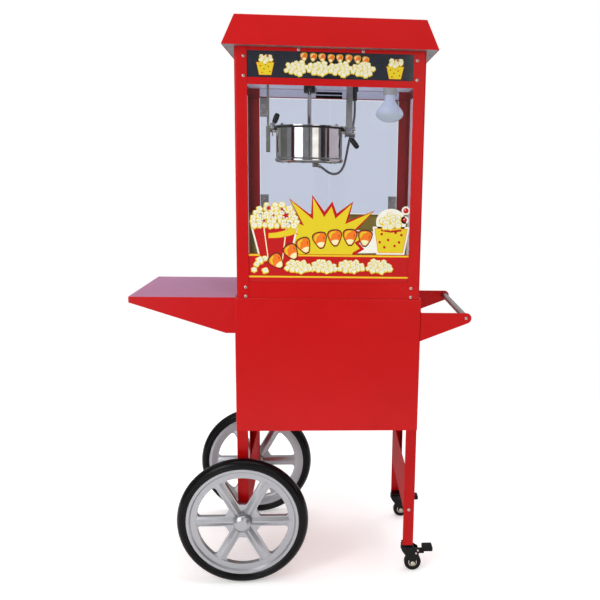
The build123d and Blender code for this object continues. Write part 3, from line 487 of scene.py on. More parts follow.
# %% Braid
def weave(tree):
    """Two sets of diagonal waves, multiplied."""
    place = object_place(tree)
    slopes = [add(tree, "ShaderNodeTexWave",
                  {"Vector": add(tree, "ShaderNodeMapping",
                                 {"Vector": place, "Rotation": (0, a, 0.4)}).outputs[0],
                   "Scale": 0.13, "Distortion": 0.6}).outputs["Fac"] for a in (0.8, -0.8)]
    return add(tree, "ShaderNodeMath", {0: slopes[0], 1: slopes[1]},
               operation="MULTIPLY").outputs[0]


lead_braid = surface("glass_fibre_braid", "#7A7775", "#B5B2B0", weave, relief_by=weave,
                     relief_mm=0.35, relief_strength=0.8, Roughness=0.7, Sheen_Weight=0.2)[0]
print("braid ready")

# %% [markdown]
# ## Printed film
#
# The pictures on the glass and on the sign are screen-printed vinyl, one opaque ink on another.
# Screen ink dries with a satin skin and a tiny speckle from the mesh of the screen.

# %% Inks
def ink(name, colour):
    darker = "#" + "".join(f"{int(int(colour[i:i + 2], 16) * 0.955):02X}" for i in (1, 3, 5))
    return surface("screen_ink_" + name, darker, colour, Noise(0.8, 1.0), (0.42, 0.5), Noise(35),
                   Noise(0.8, 1.0), 0.01, 0.3, IOR=1.4, Specular_IOR_Level=0.3)[0]


INKS = {"white": "#E9E9DF", "red": "#B90B0F", "yellow": "#DCC622", "orange": "#E8761E",
        "cream": "#EBE6B4", "brown": "#3B1A14", "gold": "#D8B942", "shade": "#D9CBB0"}
inks = {name: ink(name, colour) for name, colour in INKS.items()}
print(len(inks), "inks")

# %% [markdown]
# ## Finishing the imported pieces
#
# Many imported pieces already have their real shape. They keep it and gain a finish, and a bevel of
# under a millimetre on their edges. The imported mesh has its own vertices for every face, so a weld
# comes first, or the bevel would find no shared edges.

# %% Finish table
def finish_node(name, finish, bevel_mm=0.8, sharp=30):
    obj = nodes[name]
    obj.data.materials.clear()
    obj.data.materials.append(finish)
    if bevel_mm:
        weld = obj.modifiers.new("weld", "WELD")
        weld.merge_threshold = 1e-5
        round_edges(obj, bevel_mm)
    return obj


FINISHES = [
    (red_powder_coat, 0.8,
     "cart_shell cart_deck cart_floor handle_brackets machine_base header_frame"
                           " corner_posts storage_door rear_header roof_canopy"),
    (leg_powder_coat_painted_shade, 0.8, "cart_legs"),
    (shelf_powder_coat, 0.8, "side_shelf"),
    (caster_black, 0.5, "caster_plates"),
    (sign_acrylic, 0.3, "sign_panel"),
    (brushed_stainless, 0.4, "popping_floor kernel_drawer"),
    (liner_painted_glow, 0.4, "ceiling_plate"),
    (brushed_stainless, 0.5, "right_hanger"),
    (tie_powder_coat_painted_shade, 0.8, "leg_ties"),
    (sill_painted_reflection, 0.4, "rear_sill"),
    (tube_stainless, 0.0, "handle_tube"),
    (zinc_plated, 0.6, "axle left_hanger"),
    (galvanised, 0.5, "roof_tray drive_motor"),
]
for finish, bevel_mm, names in FINISHES:
    for name in names.split():
        finish_node(name, finish, bevel_mm)
print([n for n in nodes if not nodes[n].data.materials or nodes[n].data.materials[0] is None])

# %% [markdown]
# ## The kettle's lead
#
# The heater's lead is a short, limp, braided cable. It leaves a socket at the ceiling, hangs behind
# the right-hand pivot, and loops under the kettle to its terminal box. A NURBS curve needs only a
# few points for such a line. The tube is then built on the points that Blender reads from it.

# %% Lead
LEAD_D = 7.0
LEAD_ROUTE = [(72, 28, 1368), (73, 28, 1338), (70, 29, 1306), (62, 30, 1272), (54, 30, 1238),
              (49, 29, 1206),
              (42, 26, 1178), (28, 19, 1159), (7, 10, 1156), (-12, 4, 1167), (-29, 0, 1180.5)]
line = bpy.data.curves.new("kettle_lead_line", "CURVE")
line.dimensions, line.resolution_u = "3D", 12
spline = line.splines.new("NURBS")
spline.points.add(len(LEAD_ROUTE) - 1)
for knot, point in zip(spline.points, LEAD_ROUTE):
    knot.co = (*(TO_ROW @ Vector(point)), 1)
spline.order_u, spline.use_endpoint_u = 3, True
line_holder = bpy.data.objects.new("kettle_lead_line", line)
line_mesh = bpy.data.meshes.new_from_object(line_holder)
lead_points = [v.co.copy() for v in line_mesh.vertices]
bpy.data.objects.remove(line_holder)
bm = bmesh.new()
tube(bm, [FROM_ROW @ p for p in lead_points], LEAD_D / 2, 16)
bmesh.ops.recalc_face_normals(bm, faces=bm.faces)
bmesh.ops.transform(bm, matrix=TO_ROW, verts=bm.verts)
mesh = bpy.data.meshes.new("kettle_lead_braided")
bm.to_mesh(mesh)
bm.free()
mesh.shade_smooth()
mesh.materials.append(lead_braid)
lead = bpy.data.objects.new("kettle_lead_braided", mesh)
scene.collection.objects.link(lead)
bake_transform(lead)
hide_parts("kettle_lead")

# %% [markdown]
# ## The kettle
#
# The pot is spun on a lathe from stainless sheet: straight wall, rolled rim, flat floor. A turned
# profile gives exactly that. Under it sits the heater in its own pressed pan, with a terminal box
# and a gland where the lead goes in.

# %% Pot and heater
KETTLE = (-59.0, 0.0)
POT_FLOOR, POT_RIM = 1200.0, 1288.0
bm = bmesh.new()
turned(bm, [(0.5, POT_FLOOR + 2), (90, POT_FLOOR + 2), (93, POT_FLOOR + 5), (93, POT_RIM - 0.4),
            (94, POT_RIM),
            (95, POT_RIM - 1.2), (95, POT_FLOOR + 2.5), (93.5, POT_FLOOR + 0.4),
            (0.5, POT_FLOOR + 0.4)],
       (*KETTLE, 0), steps=160)
piece("kettle_pot_spun", bm, polished_stainless, "kettle", ["kettle_pot"])

# the rolled rim is painted dark grey, which is painted shade under its curl
rim_painted_shade = bare_metal("stainless_rim_painted_shade", "#3A3636", "#4A4544", 0.32, 0.8, "Z")
bm = bmesh.new()
bead = [(99.0 + 3.4 * math.cos(a), POT_RIM - 2.2 + 2.4 * math.sin(a)) for a in
        [2 * math.pi * i / 14 for i in range(14)]]
turned(bm, bead, (*KETTLE, 0), steps=160, loop=True)
turned(bm, [(95.1, POT_RIM - 3.0), (98, POT_RIM - 3.0), (98, POT_RIM - 1.2), (95.1, POT_RIM - 1.2)],
       (*KETTLE, 0), steps=160, loop=True)
piece("kettle_rim_rolled", bm, rim_painted_shade, "kettle")

HEATER_LOW = 1188.0
bm = bmesh.new()
turned(bm, [(0.5, HEATER_LOW), (90, HEATER_LOW), (94, HEATER_LOW + 1), (97, HEATER_LOW + 3.6),
            (98, HEATER_LOW + 6.5), (98, HEATER_LOW + 10.6), (96.8, HEATER_LOW + 11.7),
            (0.5, HEATER_LOW + 12)],
       (*KETTLE, 0), steps=160)
slab(bm, -49.5, -31.5, -9, 9, HEATER_LOW - 12, HEATER_LOW - 0.2)
along(bm, [(5.2, 0), (5.2, 4), (4.4, 6), (4.4, 9)], (-33, 0, 1181), (-22, 1.5, 1174.5))
for k in range(6):
    turn_angle = math.radians(60 * k + 20)
    x, y = KETTLE[0] + 80 * math.cos(turn_angle), 80 * math.sin(turn_angle)
    turned(bm, [(0.3, -2.2), (2.6, -2.0), (3.4, -0.9), (3.6, 0.3)], (x, y, HEATER_LOW), steps=16)
piece("kettle_heater_pan", bm, polished_stainless, "kettle",
      ["kettle_heater"], bevel=0.5)

# %% [markdown]
# ## Yoke, lids and stirrer
#
# The bar across the kettle, its two lid halves and the stirrer keep their imported shape. Two dome
# nuts hold the bar.

# %% Gear on the kettle
for name in ("kettle_yoke", "kettle_front_lid", "kettle_rear_lid", "stirrer"):
    finish_node(name, polished_stainless, 0.4)
finish_node("drive_collar", black_phenolic, 0.4)
bm = bmesh.new()
for x in (-59 - 78, -59 + 78):
    turned(bm, [(5.2, 0), (5.2, 2.2), (4.2, 3.6), (3.2, 5.4), (1.5, 6.6), (0.3, 6.9)],
           (x, 0, 1292.8), steps=24)
piece("yoke_dome_nuts", bm, screw_steel_painted_red_reflection, "kettle", bevel=0.2)
bm = bmesh.new()
for z in (1389, 1397):
    turned(bm, [(3.0, 0), (3.0, 4.5), (2.4, 5.4), (0.3, 5.6)], (-59 + 15.5, 0, z), "X", 18)
piece("collar_set_screws", bm, screw_steel_painted_red_reflection, "collar")

# %% [markdown]
# ## Grips
#
# Both grips are turned from phenolic rod with a slight belly and a rounded end, and slide on a bent
# steel tang. A turned profile follows the tang's direction.

# %% Tipping grip and latch
GRIP = [(4.6, 0), (5.6, 0.7), (6.1, 2.2), (6.5, 8), (6.6, 14), (6.3, 19), (5.9, 22.4), (4.7, 24.1),
        (2.6, 24.9),
        (0.3, 25.1)]
bm = bmesh.new()
along(bm, [(1.2 * r, 1.36 * h) for r, h in GRIP], (61.5, 0, 1259.4), (76.7, 0, 1239.6), 32)
along(bm, [(3.6, -2.9), (4.4, -2.1), (4.4, 0.2)], (61.8, 0, 1258.8), (77, 0, 1239), 24)
piece("tip_grip_turned", bm, black_phenolic, "kettle", ["tip_grip"])

LATCH_X, LATCH_Z = -167.8, 1296.8
bm = bmesh.new()
slab(bm, LATCH_X - 2.5, LATCH_X, -6, 6, 1286, LATCH_Z + 1.25)
slab(bm, LATCH_X - 2.5, -154, -6, 6, LATCH_Z - 1.25, LATCH_Z + 1.25)
turned(bm, [(1.2, -9), (1.2, 9)], (-162, 0, LATCH_Z), "Y", 16)
piece("latch_plate", bm, zinc_plated, "latch", ["latch_lever"], bevel=0.4)
bm = bmesh.new()
along(bm, [(1.2 * r, 1.12 * h) for r, h in GRIP], (-159.2, 0, LATCH_Z + 2.6), (-150.5, 0, 1322), 32)
piece("latch_grip_turned", bm, black_phenolic, "latch")

# %% [markdown]
# ## Lamp
#
# A reflector lamp is blown in one piece: a shallow domed face, a wide shoulder that holds the
# reflector, a slim neck, and a screw cap with a rolled thread, cemented on. Its holder is glazed.

# %% Lamp
LAMP_X = 172.0
bm = bmesh.new()
face = [(0.5, 1307.0)] + [(40 * math.sin(a), 1331 - 24 * math.cos(a) ** 1.15) for a in
                          [math.radians(d) for d in range(12, 90, 6)]]
shoulder = [(40, 1331), (39.6, 1334), (38.2, 1338), (35.6, 1342.5), (31.6, 1347.5), (27, 1352.5),
            (22.6, 1357.5),
            (19, 1362.5), (16.4, 1367.5), (14.8, 1372), (14, 1376), (13.6, 1386.5), (0.5, 1386.5)]
turned(bm, face + shoulder, (LAMP_X, 0, 0), steps=96)
piece("lamp_bulb_blown", bm, bulb_painted_reflection_glow, stands_for=["lamp_bulb"])
bm = bmesh.new()
thread = [(13.2 - 0.7 * (k % 2), 1387 + k * 1.8) for k in range(11)]
turned(bm, [(0.5, 1386.6), (12.5, 1386.6)] + thread + [(6, 1406.9), (0.5, 1407)], (LAMP_X, 0, 0),
       steps=48)
piece("lamp_screw_cap", bm, screw_steel_painted_red_reflection)
finish_node("lamp_holder", lamp_ceramic, 0.5)
finish_node("lead_socket", black_phenolic, 0.5)

# %% [markdown]
# ## Panes, doors and fittings
#
# The panes need no extra shape. Each door clip is a folded plate with two screws through a rubber
# pad, and a film of the same size as the clip lies between it and the glass.

# %% Glass and fittings
for name in ("front_glass", "side_glasses", "left_door_glass", "right_door_glass"):
    finish_node(name, clear_glass, 0.0)
for name in ("left_door_fittings", "right_door_fittings"):
    finish_node(name, brushed_stainless, 0.5)
bm = bmesh.new()
slab(bm, -1.45, 1.0, 176.2, 179.8, 1036, 1379)
piece("door_meeting_seal", bm, clear_glass, "left_door")
for body, side in (("left_door", -1), ("right_door", 1)):
    bm = bmesh.new()
    for z in (1046, 1074, 1341, 1369):
        for y, axis_up in ((173.4, 1), (182.1, -1)):
            heights = [(3.4, 0.1), (3.4, -0.6), (2.4, -1.5), (0.3, -1.9)] if axis_up > 0 else \
                      [(3.4, -0.1), (3.4, 0.6), (2.4, 1.5), (0.3, 1.9)]
            turned(bm, [(r, -h) for r, h in heights], (side * 202.5, y, z), "Y", 16)
    piece(body + "_clip_screws", bm, screw_steel_painted_red_reflection, body)

# %% [markdown]
# ## Bolts and the clamp knob
#
# The bearing block of the left arm is bolted through, and a knurled knob clamps the arm. Knurling
# is pressed in by a wheel; drawn as a turned piece whose outline has twenty small teeth.

# %% Bolts and knob
bm = bmesh.new()
for z in (1226, 1246, 1266):
    turned(bm, [(4.2, 13), (4.2, 15.2), (3.4, 16.2), (0.3, 16.4)], (-177, 0, z), "Y", 6)
turned(bm, [(3.2, 9), (3.2, 12), (0.3, 12.2)], (-177, 0, 1342), "Y", 6)
piece("hanger_bolts", bm, screw_steel_painted_red_reflection, bevel=0.3, sharp=20)
bm = bmesh.new()
rings = []
for x, radius, tooth in ((-197.0, 7.2, 0.0), (-196.2, 8.9, 0.25), (-195.2, 9.4, 0.45),
                         (-182.6, 9.4, 0.45),
                         (-181.6, 8.9, 0.25), (-180.6, 7.2, 0.0)):
    rings.append([Vector((x, (radius + tooth * (-1) ** i) * math.cos(math.pi * i / 20),
                          1342 + (radius + tooth * (-1) ** i) * math.sin(math.pi * i / 20)))
                  for i in range(40)])
loft(bm, rings)
piece("clamp_knob_knurled", bm, polished_stainless, sharp=20)

# %% [markdown]
# ## Inside of the head
#
# The inside of the rear header is lined with bright sheet, because red paint would scorch there. It
# has a row of vent slots, which show as dark bars behind the collar.

# %% Liner and vent
bm = bmesh.new()
slab(bm, -216, 216, 180.6, 181.6, 1386.5, 1411)
piece("rear_header_liner", bm, liner_painted_glow, bevel=0.3)
bm = bmesh.new()
for z in (1387.5, 1398.5):
    slab(bm, -43, 39, 180.0, 180.7, z, z + 8)
piece("vent_slots", bm, black_nylon, bevel=0.3)

# %% [markdown]
# ## Big wheels
#
# Each wheel is one moulding: ring, spokes and hub. Down the middle of every spoke runs a ridge with
# sloping flanks, which is what catches the light. The tyre is a solid rubber ring with moulding
# lines on its flanks, and a pressed cap hides the end of the axle.

# %% Wheels
AXLE = (-237.5, 185.0)
PLANE = 213.0
SPOKES = 6
WHEELS = {"front_wheel": -1, "rear_wheel": 1}


def wheel_point(radius, angle, y, offset=0.0):
    """A point on a wheel, offset square to the spoke at that angle."""
    c, s = math.cos(angle), math.sin(angle)
    return Vector((AXLE[0] + radius * c - offset * s, y, AXLE[1] + radius * s + offset * c))


for body, side in WHEELS.items():
    finish_node(body + "_rim", silver_paint, 0.9)
    bm = bmesh.new()
    for k in range(SPOKES):
        angle = 2 * math.pi * k / SPOKES
        for face_side in (1, -1):
            low, high = side * (PLANE + face_side * 5.8), side * (PLANE + face_side * 12.5)
            rings = []
            for radius, width, lift in ((26, 11.5, 1.0), (60, 12.5, 1.0), (110, 13.0, 0.85),
                                        (131, 13.5, 0.5)):
                top = low + (high - low) * lift
                rings.append([wheel_point(radius, angle, low, -width),
                              wheel_point(radius, angle, top, -2.2),
                              wheel_point(radius, angle, top, 2.2),
                              wheel_point(radius, angle, low, width)])
            loft(bm, rings)
    piece(body + "_ridges", bm, silver_paint, body, bevel=0.6, sharp=25)

    bm = bmesh.new()
    flank = [(158, -15), (158, 15), (160.5, 17.2), (163.5, 18.4), (166, 19.0), (166.8, 18.5),
             (167.6, 19.1), (171, 19.2), (173, 18.9), (173.8, 18.3), (174.6, 18.5), (177.5, 16.8),
             (180.4, 13.8), (182.6, 9.6), (184.0, 5.4), (184.7, 2.4), (184.7, 0)]
    mirrored = [(r, -out) for r, out in reversed(flank[2:-1])]
    turned_out(bm, flank + mirrored, (AXLE[0], side * PLANE, AXLE[1]), side, 160, loop=True)
    piece(body + "_tyre_moulded", bm, tyre_rubber, body, [body + "_tyre"], sharp=28)

bm = bmesh.new()
for side in (-1, 1):
    turned_out(bm, [(0.5, 25.4), (10.5, 25.4), (10.5, 20.2), (24.2, 20.2), (24.8, 21), (24.8, 25),
                    (23.4, 27.4), (17.6, 32.2), (15.5, 33.4), (12.5, 33.8), (0.5, 33.9)],
               (AXLE[0], side * PLANE, AXLE[1]), side, 96)
piece("hub_caps_pressed", bm, silver_paint, stands_for=["hub_caps"], sharp=20)

# %% [markdown]
# ## Swivel casters
#
# The fork is pressed steel, dipped in black paint, with ears that taper down to the wheel's rivet
# and leave most of the wheel in view. A hole in each ear lets the pedal's pivot pin turn. The
# wheel is a nylon core in a rubber tread, so it is two pieces. The foot pedal is nylon with grip
# ribs.

# %% Casters
CASTER = (239.0, 168.0)
TRAIL, ROLLER_R = 17.0, 25.0
PIN_X, PIN_Z, PIN_HOLE_R = 26, 57, 2.7
EAR_IN, EAR_THICK, FOOT_R = 11, 3, 8.6
for name, side in (("front", -1), ("rear", 1)):
    centre = (CASTER[0] + TRAIL, side * CASTER[1], ROLLER_R)
    finish_node(name + "_caster_brake", black_nylon, 0.6)
    bm = bmesh.new()
    tread = [(15.5, -9.2), (22.5, -9.4), (24.2, -8.2), (25, -5.8), (25, 5.8), (24.2, 8.2),
             (22.5, 9.4), (15.5, 9.2)]
    turned(bm, [(r, -h) for r, h in tread], centre, "Y", 64, loop=True)
    piece(name + "_caster_tread", bm, caster_rubber, name + "_caster_roller",
          [name + "_caster_wheel"])
    bm = bmesh.new()
    turned(bm, [(4.4, -9.4), (8, -9.4), (8.6, -7.5), (15.6, -7.5), (15.6, 7.5), (8.6, 7.5),
                (8, 9.4), (4.4, 9.4)],
           centre, "Y", 48, loop=True)
    piece(name + "_caster_core", bm, black_nylon, name + "_caster_roller")
    bm = bmesh.new()
    for out in (-1, 1):
        turned_out(bm, [(6.5, 14.05), (6.5, 15.4), (5.2, 16.8), (3, 17.6), (0.4, 17.8)], centre,
                   out, 24)
    piece(name + "_caster_rivets", bm, zinc_plated, name + "_caster")
    bm = bmesh.new()
    for k in range(6):
        x = CASTER[0] + 50 + 4.2 * k
        slab(bm, x - 0.9, x + 0.9, side * CASTER[1] - 11, side * CASTER[1] + 11, 75.6, 76.9)
    piece(name + "_pedal_ribs", bm, black_nylon, name + "_caster_pedal", bevel=0.3)
    bm = bmesh.new()
    cx, cy = CASTER[0], side * CASTER[1]
    turned(bm, [(6, 66), (19, 66), (19.4, 68), (19.4, 76), (18.2, 78.6), (15, 79.8), (6, 79.8)],
           (cx, cy, 0), steps=48, loop=True)
    foot = [(TRAIL + FOOT_R * math.cos(a), ROLLER_R + FOOT_R * math.sin(a)) for a in
            [math.radians(d) for d in range(20, -201, -20)]]
    ear = [(-18, 78), (17, 78), (29, 70), (34, 63), (34.5, 54), (31, 46)] + foot
    ear += [(2, 42), (-9, 54), (-17, 66)]
    turns = [math.tau * k / 20 for k in range(20)]
    pin_hole = [(cx + PIN_X + PIN_HOLE_R * math.cos(a), PIN_Z + PIN_HOLE_R * math.sin(a))
                for a in turns]
    for y0 in (-EAR_IN - EAR_THICK, EAR_IN):
        pierced_plate(bm, [(cx + x, z) for x, z in ear], pin_hole, cy + y0, cy + y0 + EAR_THICK)
    piece(name + "_caster_fork_pressed", bm, caster_black, name + "_caster",
          [name + "_caster_fork"], bevel=0.7, sharp=30)
    bm = bmesh.new()
    for out in (-1, 1):
        for dx, z in ((PIN_X, PIN_Z), (31, 66)):
            turned_out(bm, [(2.9, 14.05), (2.9, 14.9), (2.0, 15.6), (0.3, 15.8)], (cx + dx, cy, z),
                       out, 18)
        turned(bm, [(10.4, -0.4), (12.6, -0.4), (12.6, 0.4), (10.4, 0.4)],
               (centre[0], centre[1] + out * 8.0, centre[2]), "Y", 48, loop=True)
    piece(name + "_caster_pins", bm, screw_steel_painted_red_reflection, name + "_caster", bevel=0.15)

# %% [markdown]
# ## Screws
#
# Round heads with a cross recess hold the posts and the eaves. The recess is only half a
# millimetre wide at its edge, but a dark cross is what makes a dot look like a screw.

# %% Screw heads
HEAD = [(4.5, 0.0), (4.5, 0.6), (4.1, 1.5), (3.2, 2.2), (2.0, 2.55), (0.3, 2.6)]
CAB_Y, TRAY_Y, LEG_Y, BRACKET_Y = 185.0, 183.5, 183.5, 186.5
SCREWS = [(sx * 226, z, side, CAB_Y) for side in (-1, 1) for sx in (-1, 1)
          for z in (826.5, 851.5, 1406.0, 1455.0)]
SCREWS += [(239, 196, side, LEG_Y) for side in (-1, 1)]
SCREWS += [(383.5, 768, side, BRACKET_Y) for side in (-1, 1)]
SCREWS += [(sx * 84, 1474.5, -1, TRAY_Y) for sx in (-1, 1)]
screw_box = box_mm("round_head_screws")
print("screws span", [round(v, 1) for corner in screw_box for v in corner])

recess = moulded("screw_recess_shadow", "#1B1918", "#2A2725", 0.6, 1.0, 0.01)
heads, crosses = bmesh.new(), bmesh.new()
for i, (x, z, side, y) in enumerate(SCREWS):
    turned_out(heads, HEAD, (x, side * y, z), side, 20)
    for quarter in (0, math.pi / 2):
        angle = quarter + 0.7 * i
        long = Vector((math.cos(angle), 0, math.sin(angle)))
        wide = Vector((-math.sin(angle), 0, math.cos(angle)))
        corners = [(2.3, 0.4), (-2.3, 0.4), (-2.3, -0.4), (2.3, -0.4)]
        loft(crosses, [[Vector((x, side * (y + h), z)) + long * a + wide * b for a, b in corners]
                       for h in (2.0, 2.66)])
piece("screw_heads", heads, screw_steel_painted_red_reflection, stands_for=["round_head_screws"])
piece("screw_recesses", crosses, recess)

# %% [markdown]
# ## The back
#
# The switches are red rockers in black bezels, and the inlet is a standard flanged socket. The ends
# of the handle tube are closed with plastic plugs, as bare tube would cut a hand.

# %% Switches and plugs
for name in ("heat_switch", "light_switch", "stir_switch"):
    finish_node(name, rocker_plastic, 0.4)
finish_node("power_inlet", black_nylon, 0.5)
bm = bmesh.new()
for x in (-70, 0, 70):
    for dx in (-8.6, 7.1):
        slab(bm, x + dx, x + dx + 1.5, 183.6, 185.2, 1434 - 17, 1434 + 17)
    for z in (1434 - 17, 1434 + 15.5):
        slab(bm, x - 7.0, x + 7.0, 183.6, 185.2, z, z + 1.5)
piece("switch_bezels", bm, black_nylon, bevel=0.4)
tube_low, tube_high = box_mm("handle_tube")
bm = bmesh.new()
print("tube", [round(v, 1) for v in (*tube_low, *tube_high)])
for end, out in ((tube_low.y, -1), (tube_high.y, 1)):
    rings = [circle(Vector((383.5, end + out * h, 768)), Vector((1, 0, 0)), Vector((0, 0, 1)), r,
                    40)
             for r, h in ((9.2, -6), (9.2, 0.1), (8.2, 0.8), (5, 1.2), (0.4, 1.3))]
    loft(bm, rings)
piece("handle_tube_plugs", bm, black_nylon)

# %% [markdown]
# ## Printed film
#
# A print is a pile of flat ink shapes, the lower ones printed first. Each shape here is its own
# thin plate, and each level lies 0.025 mm further out, so nothing fights for the same plane. A
# shape is an outline of points in width and height, and every ink collects its own shapes into one
# mesh.

# %% Film helpers
LEVEL = 0.025
film = {}


def stick(colour, level, outline, base=-181.95):
    """Adds one flat shape of an ink at a level of the print."""
    front = base - LEVEL * (level + 1)
    plate(film.setdefault(colour, bmesh.new()), outline, front, front + 0.6 * LEVEL)


def blob(x, z, radius, lobes=5, depth=0.16, phase=0.0, squash=1.0, steps=28):
    points = []
    for i in range(steps):
        a = 2 * math.pi * i / steps
        r = radius * (1 + depth * math.cos(lobes * a + phase))
        points.append((x + r * math.cos(a), z + squash * r * math.sin(a)))
    return points


def star(x, z, radius, points=5, inner=0.42, phase=0.0):
    corners = []
    for i in range(2 * points):
        a = math.pi / 2 + phase + math.pi * i / points
        r = radius * (inner if i % 2 else 1)
        corners.append((x + r * math.cos(a), z + r * math.sin(a)))
    return corners


def arc_band(points_low, points_high):
    return points_low + points_high[::-1]


def grown(outline, amount):
    """The outline moved outwards, for a border of even width."""
    out, n = [], len(outline)
    area = sum(outline[i][0] * outline[(i + 1) % n][1] - outline[(i + 1) % n][0] * outline[i][1]
               for i in range(n))
    turn_out = 1 if area > 0 else -1
    for i in range(n):
        before, here, after = (Vector(outline[k % n]) for k in (i - 1, i, i + 1))
        e1, e2 = (here - before).normalized(), (after - here).normalized()
        n1, n2 = Vector((e1.y, -e1.x)) * turn_out, Vector((e2.y, -e2.x)) * turn_out
        mid = (n1 + n2)
        mid = mid / max(mid.length_squared / 2, 0.5)
        out.append(tuple(here + mid * amount))
    return out


# %% [markdown]
# ## Popped corn, as ink
#
# One puff is a lobed patch of yellow, a smaller cream one, and white lobes on top. Many puffs piled
# from back to front read as popcorn. Sizes and places are drawn from a seeded random source, so the
# print is the same every time.

# %% Puffs
rng = random.Random(11)


def puff(x, z, size, level):
    phase = rng.uniform(0, 6.3)
    lobes = rng.choice((4, 5, 6))
    stick("gold", level, blob(x, z - 0.06 * size, size * 1.10, lobes, 0.09, phase, 0.92))
    stick("yellow", level + 1, blob(x, z, size, lobes, 0.11, phase, 0.92))
    stick("cream", level + 2, blob(x + 0.05 * size, z + 0.10 * size, size * 0.84, lobes, 0.12,
                                   phase + 0.3, 0.9))
    for k in range(3):
        a = phase + 2.1 * k
        stick("white", level + 3, blob(x + 0.36 * size * math.cos(a),
                                       z + 0.12 * size + 0.3 * size * math.sin(a),
                                       size * 0.36, 4, 0.12, a, 0.9, 14))
    return level + 4


def cluster(x, z, half_w, half_h, size, count, level):
    """Puffs that fill an oval, those at the top first."""
    spots = []
    for k in range(count):
        a, r = 2.399963 * k + 0.4, math.sqrt((k + 0.5) / count)
        spots.append((x + (half_w - size) * r * math.cos(a), z + (half_h - size) * r * math.sin(a)))
    for px, pz in sorted(spots, key=lambda p: -p[1]):
        puff(px + rng.uniform(-1, 1), pz + rng.uniform(-1, 1), size * rng.uniform(0.85, 1.15),
             level)
        level += 3
    return level


# %% [markdown]
# ## Print on the glass
#
# The lower third of the pane carries a red band between two yellow lines, a starburst, a striped
# tub of popcorn and a row of corn kernels in an arc. They are plain fairground shapes.

# %% Band, lines and starburst
OPEN = 219.0
stick("red", 4, [(-OPEN, 862), (OPEN, 862), (OPEN, 943), (-OPEN, 943)])
for z0, z1, edge in ((937.2, 941.8, 1.0), (878.4, 882.8, 0.9)):
    stick("orange", 5, [(-OPEN, z0 - edge), (OPEN, z0 - edge), (OPEN, z1), (-OPEN, z1)])
    stick("yellow", 6, [(-OPEN, z0 + 0.4), (OPEN, z0 + 0.4), (OPEN, z1 - 0.6), (-OPEN, z1 - 0.6)])


def burst(x, z, tips, inner, reach):
    """A regular starburst: tip k is reach[k] long."""
    corners = []
    for k in range(tips):
        a = math.radians(172) - math.pi * 2 * k / tips
        corners.append((x + reach[k] * math.cos(a), z + 0.92 * reach[k] * math.sin(a)))
        a -= math.pi / tips
        corners.append((x + inner * math.cos(a), z + 0.92 * inner * math.sin(a)))
    return corners


REACH = [150, 195, 172, 152, 124, 150, 172, 140, 108, 96, 96, 96, 96, 96, 96, 96]
core = burst(-10, 972, len(REACH), 78, [r - 14 for r in REACH])
stick("red", 1, grown(core, 8.0))
stick("yellow", 2, core)

# %% Tub
TUB = [(-208, 1026), (-182, 922), (-112, 917), (-89, 1020)]
stick("white", 3, grown(TUB, 5.0))
stick("red", 7, grown(TUB, 0.6))
for t in (0.26, 0.78):
    top_x, low_x = -208 + 119 * t, -182 + 70 * t
    stick("cream", 8, [(low_x - 1.3, 922 - 5 * t), (low_x + 1.3, 922 - 5 * t),
                       (top_x + 1.6, 1024 - 5 * t),
                       (top_x - 1.6, 1024 - 5 * t)])
swoosh_low = [(-163 + 5.2 * k, 986 - 3.4 * math.sin(math.pi * k / 14) + 0.9 * k) for k in range(15)]
swoosh_high = [(-163 + 5.2 * k, 998 - 4.6 * math.sin(math.pi * k / 14) + 1.5 * k)
               for k in range(15)]
stick("yellow", 9, arc_band(swoosh_low, swoosh_high))
stick("orange", 8, grown(arc_band(swoosh_low, swoosh_high), 1.2))
heap = []
for row, half_w in enumerate((20, 38, 49, 56, 58, 54)):
    count = 2 * half_w // 14 + 1
    for k in range(count):
        heap.append((-148 - half_w + 2 * half_w * k / (count - 1) + rng.uniform(-2.5, 2.5),
                     1074 - 11.0 * row + rng.uniform(-2, 2)))
level = 9
for x, z in sorted(heap, key=lambda p: -p[1]):
    puff(x, z, 8.6 * rng.uniform(0.85, 1.15), level)
    level += 1
for x, z, r in ((-163, 1066, 8.5), (-117, 1047, 11), (-175, 1032, 6.5), (-128, 1064, 5.5),
                (-150, 1046, 4.5)):
    stick("red", level + 5, star(x, z, r, phase=0.3))

# %% Row of kernels
KERNELS = [(-142, 922, 42), (-102, 948, 33), (-68, 966, 24), (-25, 981, 12), (15, 988, 5),
           (56, 990, 0),
           (97, 988, -4)]


def kernel(x, z, size, lean_degrees, level, dark="brown", fill="orange", line="yellow"):
    """A plain corn kernel: a rounded wedge, dark round the edge, with a yellow line inside."""
    lean = math.radians(lean_degrees)
    half = [(0.10, -0.50), (0.22, -0.36), (0.34, -0.12), (0.42, 0.10), (0.43, 0.26), (0.36, 0.40),
            (0.20, 0.48)]
    shape = half + [(0, 0.50)] + [(-px, pz) for px, pz in reversed(half)]

    def placed(scale):
        return [(x + size * scale * (px * math.cos(lean) - pz * math.sin(lean)),
                 z + size * scale * (px * math.sin(lean) + pz * math.cos(lean))) for px,
                pz in shape]

    def at(px, pz):
        return (x + size * (px * math.cos(lean) - pz * math.sin(lean)),
                z + size * (px * math.sin(lean) + pz * math.cos(lean)))

    stick(dark, level, placed(1.12))
    stick(fill, level + 1, placed(0.97))
    tip = [(0.09, -0.47), (0.20, -0.34), (0.27, -0.20), (0.12, -0.13), (-0.12, -0.13),
           (-0.27, -0.20),
           (-0.20, -0.34), (-0.09, -0.47)]
    stick("cream", level + 2, [at(px * 0.92, pz * 0.95) for px, pz in tip])
    gleam = [(-0.31, -0.02), (-0.34, 0.14), (-0.31, 0.28), (-0.22, 0.38), (-0.08, 0.42),
             (0.10, 0.42),
             (0.02, 0.34), (-0.12, 0.30), (-0.20, 0.20), (-0.24, 0.06)]
    stick(line, level + 2, [at(px, pz) for px, pz in gleam])
    stick("red", level + 2, [at(px, pz) for px, pz in ((0.24, -0.06), (0.31, 0.10), (0.30, 0.24),
                                                       (0.25, 0.12))])


